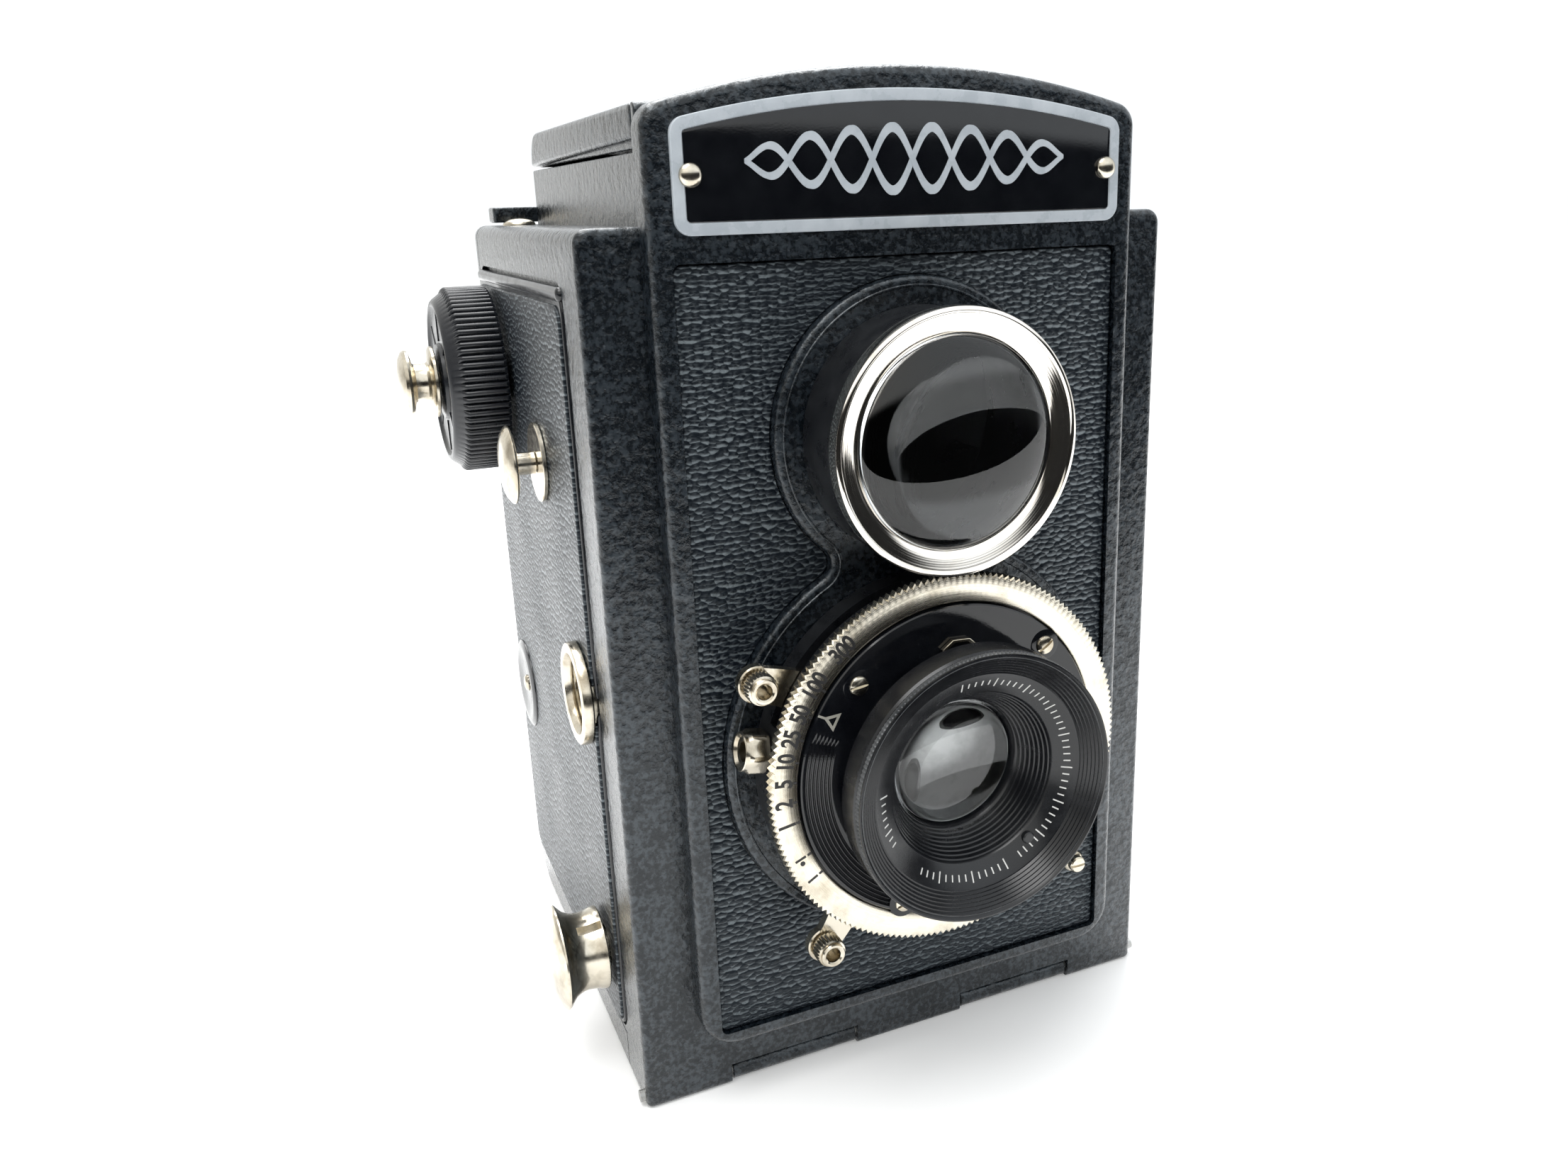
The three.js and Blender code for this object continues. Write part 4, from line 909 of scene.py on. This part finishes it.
def face_screw(node, turn):
    x, _, z = centre_of(node)
    face = SHUTTER_FACE
    pad = lathe([(0, face + 0.1), (1.9, face + 0.1), (1.9, face - 0.02), (1.75, face - 0.06), (0, face - 0.06)],
                "Y", (x, z), 48)
    finished(solid(f"{node}_seat", pad), "camera_body", GLOSS_BLACK)
    head = lathe([(0, face), (1.15, face), (1.15, face - 0.2), (1.05, face - 0.36), (0.8, face - 0.48),
                  (0.4, face - 0.54), (0, face - 0.55)], "Y", (x, z), 48)
    a, b = math.cos(math.radians(turn)), math.sin(math.radians(turn))
    ring = [(x + a * u - b * v, z + b * u + a * v) for u, v in ((-2, -0.16), (2, -0.16), (2, 0.16), (-2, 0.16))]
    slot = loft(lambda inset: ring, [(0, face - 1), (0, face - 0.25)])
    screw = combine(solid(f"{node}_head", head), [solid("slot", slot)])
    finished(screw, "camera_body", NICKEL, [node])


def index_mark(x, z):
    """The pointer for the speeds: a small open triangle aimed outwards."""
    face, angle = SHUTTER_FACE, math.radians(151.7)
    a, b = math.cos(angle), math.sin(angle)

    def turned(points):
        return [(x + a * u - b * v, z + b * u + a * v) for u, v in points]

    outer = solid("speed_index", loft(lambda inset: turned([(1.0, 0), (-0.85, 1.15), (-0.85, -1.15)]),
                                      [(0, face + 0.05), (0, face - 0.05)]))
    inner = solid("open", loft(lambda inset: turned([(0.35, 0), (-0.55, 0.6), (-0.55, -0.6)]),
                               [(0, face + 1), (0, face - 1)]))
    tail = solid("tail", loft(lambda inset: turned([(0.7, 0.13), (1.7, 0.13), (1.7, -0.13), (0.7, -0.13)]),
                              [(0, face + 0.05), (0, face - 0.05)]))
    combine(outer, [tail], "UNION")
    finished(combine(outer, [inner]), "camera_body", PALE_PAINT)


def lever_knob(node, body, centre):
    """A knurled knob, hollow at its front end."""
    def knurled(r, h, angle):
        if r < 1.8:
            return r, h
        return r - 0.13 * (0.5 - 0.5 * math.cos(26 * angle)), h

    back, front = -7.8, -11.5
    profile = [(0, back), (1.5, back), (1.5, back - 1.3), (1.85, back - 1.4), (1.85, front + 0.85), (1.72, front + 0.6),
               (1.5, front + 0.5), (1.5, front + 0.15), (1.38, front), (1.12, front), (0.92, front + 0.15),
               (0.84, front + 0.5), (0.84, front + 2), (0, front + 2)]
    finished(solid(f"{node}_knob", lathe(profile, "Y", centre, 26 * 6, knurled)), body, NICKEL)


def wing_arm(name, body, inner, outer, start_width, end_width, bow, nodes):
    """A flat nickel arm from under the ring to its knob, with a swept, bowed outline."""
    (x0, z0), (x1, z1) = inner, outer
    length = math.hypot(x1 - x0, z1 - z0)
    ux, uz = (x1 - x0) / length, (z1 - z0) / length
    left, right = [], []
    for i in range(17):
        t = i / 16
        width = start_width + (end_width - start_width) * (3 * t * t - 2 * t ** 3)
        middle = bow * math.sin(math.pi * t)
        cx, cz = x0 + ux * length * t - uz * middle, z0 + uz * length * t + ux * middle
        left.append((cx - uz * width / 2, cz + ux * width / 2))
        right.append((cx + uz * width / 2, cz - ux * width / 2))
    path = left + list(reversed(right))
    arm = solid(name, loft(lambda inset: path, [(0, -7.7), (0, -8.8), (0, -8.9)]))
    pad = lathe([(0, -7.7), (2.2, -7.7), (2.2, -8.75), (2.05, -8.9), (0, -8.9)], "Y", outer, 48)
    combine(arm, [solid("pad", pad)], "UNION")
    finished(arm, body, NICKEL, nodes)


def levers():
    cocking, release = polar(26.0, 150.7), polar(27.4, 235.3)
    wing_arm("cocking_arm", "cocking_lever", polar(15.5, 149), cocking, 5.4, 4.2, -0.7, ["cocking_lever"])
    ring = lathe([(12.2, -7.7), (15, -7.7), (15, -8.9), (12.2, -8.9)], "Y", TAKING, 96)
    finished(solid("cocking_ring", ring), "cocking_lever", STEEL)
    lever_knob("cocking", "cocking_lever", cocking)
    wing_arm("release_arm", "release_lever", polar(17.3, 229), release, 5.0, 3.6, 0.9, ["release_lever"])
    lever_knob("release", "release_lever", release)


def aperture():
    face = SHUTTER_FACE
    ring = solid("aperture_band", lathe([(12.1, face - 0.15), (13.3, face - 0.15), (13.4, face - 0.25),
                                         (13.4, face - 0.6), (12.1, face - 0.65)], "Y", TAKING, 128))
    finished(ring, "aperture", LENS_BLACK, ["aperture_ring"])
    x, z = polar(14.3, 87)
    a, b = math.cos(math.radians(87)), math.sin(math.radians(87))

    def turned(points, scale=1.0):
        return [(x + a * u * scale - b * v * scale, z + b * u * scale + a * v * scale) for u, v in points]

    gate = [(-1.3, 2.2), (0.2, 2.4), (1.25, 1.1), (1.25, -1.1), (0.2, -2.4), (-1.3, -2.2)]
    frame_piece = solid("aperture_gate", loft(lambda inset: turned(gate, 1 - inset),
                                              [(0, face - 0.1), (0, face - 0.6), (0.04, face - 0.65)]))
    hole = solid("gate_hole", loft(lambda inset: turned(gate, 0.76), [(0, face + 1), (0, face - 2)]))
    finished(combine(frame_piece, [hole]), "aperture", NICKEL)


def cable_socket():
    profile = [(1.2, 22.1), (2.5, 22.1), (2.55, 22.4), (2.55, 24.1), (2.3, 24.5), (2.3, 24.9), (2.2, 25.0),
               (2.0, 24.95), (1.7, 24.6), (1.2, 24.5)]

    def faceted(r, h, angle):
        if r < 2.4:
            return r, h
        return r / max(math.cos((angle % (math.pi / 3)) - math.pi / 6), 0.9) * 0.93, h

    points, faces = lathe(profile, "X", (0, 0), 72, faceted)
    angle = math.radians(170)
    moved = []
    for x, y, z in points:
        moved.append((TAKING[0] + x * math.cos(angle) - z * math.sin(angle), -7.1 + y,
                      TAKING[1] + x * math.sin(angle) + z * math.cos(angle)))
    finished(solid("cable_thread", (moved, faces)), "camera_body", NICKEL, ["cable_socket"])


def plate_stud():
    x, _, z = centre_of("plate_stud")
    base = LEATHER_FACE
    stud = lathe([(0, base + 0.1), (1.5, base + 0.1), (1.5, base - 0.3), (1.35, base - 0.5), (1.15, base - 0.6),
                  (1.15, base - 1.35), (1.0, base - 1.55), (0.6, base - 1.63), (0, base - 1.65)], "Y", (x, z), 48)
    slot = solid("slot", box_shape((x - 2, x + 2), (base - 3, base - 1.25), (z - 0.17, z + 0.17)))
    finished(combine(solid("front_stud", stud), [slot]), "camera_body", NICKEL, ["plate_stud"])


# Taking lens

def ribbed_run(start, end, count, depth):
    """Profile points between two (radius, depth) ends with small steps cut into the slope."""
    run = []
    for i in range(count):
        t, u = i / count, (i + 0.5) / count
        run.append((start[0] + (end[0] - start[0]) * t, start[1] + (end[1] - start[1]) * t))
        run.append((start[0] + (end[0] - start[0]) * u, start[1] + (end[1] - start[1]) * u + depth))
    return run + [end]


def focus_cell():
    knurls = 200

    def knurled(r, h, angle):
        if r < 16.2:
            return r, h
        return r - 0.25 * (0.5 - 0.5 * math.cos(knurls * angle)), h

    outside = [(7.8, -10.3), (10.5, -10.3), (10.5, -13.95), (13.2, -13.95), (13.5, -14.1), (16.0, -16.4), (16.2, -16.7),
               (16.2, -19.6), (16.0, -19.9), (15.7, -20.0), (15.7, -20.9), (16.0, -20.95), (16.15, -21.05),
               (16.15, -21.2), (15.95, -21.25)]
    funnel = ribbed_run((15.85, -21.15), (13.3, -19.38), 7, 0.16)
    name_ring = [(13.15, -19.3), (10.7, -17.9)]
    inner = ribbed_run((10.58, -17.8), (8.1, -13.6), 8, 0.16)
    cell = solid("focus_bowl", lathe(outside + funnel + name_ring + inner + [(7.8, -13)], "Y", TAKING, 256))
    finished(cell, "focus_cell", LENS_BLACK, ["focus_cell"])
    # The knurled grip takes the lighter grey, a painted highlight on its knurls.
    grip = lathe([(15.6, -20.1), (16.1, -20.15), (16.25, -20.25), (16.25, -20.75), (16.1, -20.85), (15.6, -20.88)],
                 "Y", TAKING, knurls * 4, knurled)
    finished(solid("focus_grip", grip), "focus_cell", KNURL_SHEEN_GREY)
    ring_marks()
    x, z = polar(11.4, -52)
    screw = lathe([(0, -18.0), (0.75, -18.0), (0.75, -18.5), (0.6, -18.62), (0, -18.66)], "Y", (x, z), 32)
    finished(solid("ring_screw", screw), "focus_cell", SATIN_BLACK)


def ring_marks():
    """Plain scale dashes on the sloping ring, in the places where such a ring is engraved."""
    outer, inner = (12.75, -19.08), (11.35, -18.28)
    spans = ((100, -62, 40), (-72, -128, 14), (176, 206, 8))
    count = 0
    for start, end, dashes in spans:
        for i in range(dashes):
            angle = math.radians(start + (end - start) * i / (dashes - 1))
            count += 1
            near = 0.35 if i % 5 else 0.12
            points = []
            for r, h in ((outer[0] - near, outer[1] + near * 0.57), (inner[0] + near, inner[1] - near * 0.57)):
                for side in (-0.08, 0.08):
                    for lift in (0.02, -0.02):
                        points.append((TAKING[0] + r * math.cos(angle) - side * math.sin(angle), h + lift,
                                       TAKING[1] + r * math.sin(angle) + side * math.cos(angle)))
            faces = [(0, 1, 3, 2), (4, 6, 7, 5), (0, 4, 5, 1), (2, 3, 7, 6), (0, 2, 6, 4), (1, 5, 7, 3)]
            finished(solid(f"ring_dash_{count:02d}", (points, faces)), "focus_cell", MARKING)


def lens_glasses():
    front = [(7.7 * math.sin(t), -12.5 - 1.35 * math.cos(t)) for t in [math.pi / 2 * i / 12 for i in range(12, 0, -1)]]
    lens = lathe([(0, -10.2), (3, -10.35), (6, -10.8), (7.7, -11.2)] + front + [(0, -13.85)], "Y", TAKING, 96)
    finished(solid("front_element", lens), "focus_carrier", GLASS, ["front_glass"])


# Carried-over frame nodes get their materials here

def dress_frame():
    looks = {
        "finder_mirror": SILVERED, "mirror_cradle": SATIN_BLACK, "viewing_lens": GLASS, "hood_floor": SATIN_BLACK,
        "film_chamber": SATIN_BLACK, "spool_pin_upper": STEEL, "spool_pin_lower": STEEL, "film_roller_upper": STEEL,
        "film_roller_lower": STEEL, "take_up_spool": BAKELITE, "pressure_plate": SATIN_BLACK, "rear_cell": SATIN_BLACK,
        "rear_glass": GLASS, "door_hinge_pin": STEEL, "hood_wing_left": ENAMEL, "hood_wing_right": ENAMEL,
        "shutter_blade_1": STEEL, "shutter_blade_2": STEEL, "shutter_blade_3": STEEL, "shutter_blade_4": STEEL,
    }
    for node, material in looks.items():
        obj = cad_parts[node]
        obj.data.materials.clear()
        obj.data.materials.append(material)


# Studio

def studio():
    """A pale sheet that ends in front of the camera, under plain soft light."""
    floor = bpy.data.meshes.new("floor")
    half, front = 3.0, -0.24
    floor.from_pydata([(-half, front, 0), (half, front, 0), (half, half, 0), (-half, half, 0)], [], [(0, 1, 2, 3)])
    ground = bpy.data.objects.new("floor", floor)
    bpy.context.scene.collection.objects.link(ground)
    white = Shader("white_floor", Roughness=0.8, Base_Color=(0.89, 0.89, 0.89), Emission_Color=(1.0, 1.0, 1.0),
                   Emission_Strength=0.16)
    ground.data.materials.append(white.material)
    surroundings()
    soft_light("top_light", (-0.2, -0.15, 0.7), (0, 0, 0.06), 0.4, 2.5)
    soft_light("back_light", (0.1, 0.5, 0.9), (0, 0.2, 0), 0.8, 12)
    bpy.context.scene.view_settings.view_transform = "Standard"


def surroundings():
    """A bright room above, behind and beside the camera, and a dark one in front of it."""
    world = bpy.data.worlds.new("studio")
    bpy.context.scene.world = world
    world.use_nodes = True
    tree = world.node_tree

    def add(kind, inputs, **settings):
        node = tree.nodes.new(kind)
        for key, value in settings.items():
            setattr(node, key, value)
        for socket, value in inputs.items():
            if isinstance(value, bpy.types.NodeSocket):
                tree.links.new(value, node.inputs[socket])
            else:
                node.inputs[socket].default_value = value
        return node

    def between(value, low, high, to=(0.0, 1.0)):
        return add("ShaderNodeMapRange", {"Value": value, "From Min": low, "From Max": high, "To Min": to[0],
                                          "To Max": to[1]}, interpolation_type="SMOOTHSTEP").outputs["Result"]

    towards = add("ShaderNodeTexCoord", {}).outputs["Generated"]
    x, y, z = add("ShaderNodeSeparateXYZ", {"Vector": towards}).outputs
    behind = between(y, -0.42, -0.18)
    above = between(z, 0.16, 0.34)
    light = add("ShaderNodeMath", {0: behind, 1: above}, operation="MAXIMUM").outputs[0]
    overhead = add("ShaderNodeMath", {0: above, 1: between(y, -0.1, -0.4)}, operation="MULTIPLY").outputs[0]
    level = add("ShaderNodeMath", {0: between(light, 0.0, 1.0, (0.02, 1.1)),
                                   1: between(overhead, 0.0, 1.0, (0.0, 0.35))}, operation="ADD").outputs[0]
    strength = add("ShaderNodeMath", {0: level, 1: between(x, -0.55, -0.9, (1.0, 0.62))}, operation="MULTIPLY").outputs[0]
    warm = between(x, -0.6, 0.5)
    colour = add("ShaderNodeMixRGB", {"Fac": warm, "Color1": (1.0, 0.99, 0.95, 1), "Color2": (0.93, 0.97, 1.0, 1)})
    seen = add("ShaderNodeLightPath", {}).outputs["Is Camera Ray"]
    strength = add("ShaderNodeMath", {0: strength, 1: seen}, operation="MAXIMUM").outputs[0]
    background = tree.nodes["Background"]
    tree.links.new(colour.outputs["Color"], background.inputs["Color"])
    tree.links.new(strength, background.inputs["Strength"])


def soft_light(name, where, target, size, power):
    light = bpy.data.lights.new(name, "AREA")
    light.shape = "SQUARE"
    light.size = size
    light.energy = power
    obj = bpy.data.objects.new(name, light)
    obj.location = where
    obj.rotation_euler = (Vector(target) - Vector(where)).to_track_quat("-Z", "Y").to_euler()
    bpy.context.scene.collection.objects.link(obj)


def camera():
    azimuth, elevation, roll = math.radians(-23.78), math.radians(16.29), math.radians(-1.67)
    forward = Vector((-math.sin(azimuth) * math.cos(elevation), math.cos(azimuth) * math.cos(elevation),
                      -math.sin(elevation)))
    level = Vector((math.cos(azimuth), math.sin(azimuth), 0))
    up = level.cross(forward)
    right = math.cos(roll) * level + math.sin(roll) * up
    above = -math.sin(roll) * level + math.cos(roll) * up
    data = bpy.data.cameras.new("view")
    data.sensor_width = 36
    data.lens = 28.376
    data.shift_x, data.shift_y = -0.0391, -0.0150
    data.clip_start = 0.01
    obj = bpy.data.objects.new("view", data)
    turn = Matrix((right, above, -forward)).transposed().to_4x4()
    obj.matrix_world = Matrix.Translation(place(-65.14, -130.59, 109.44)) @ turn
    bpy.context.scene.collection.objects.link(obj)
    bpy.context.scene.camera = obj


camera()
studio()
body_shell()
front_plate()
front_leather()
side_panels()
badge()
top_rivets()
strap_studs()
tripod_bush()
supply_knob()
wind_knob()
finder()
hood()
latch()
back_door()
shutter_housing()
speed_ring()
shutter_face()
levers()
aperture()
cable_socket()
plate_stud()
focus_cell()
lens_glasses()
dress_frame()

bpy.context.view_layer.update()
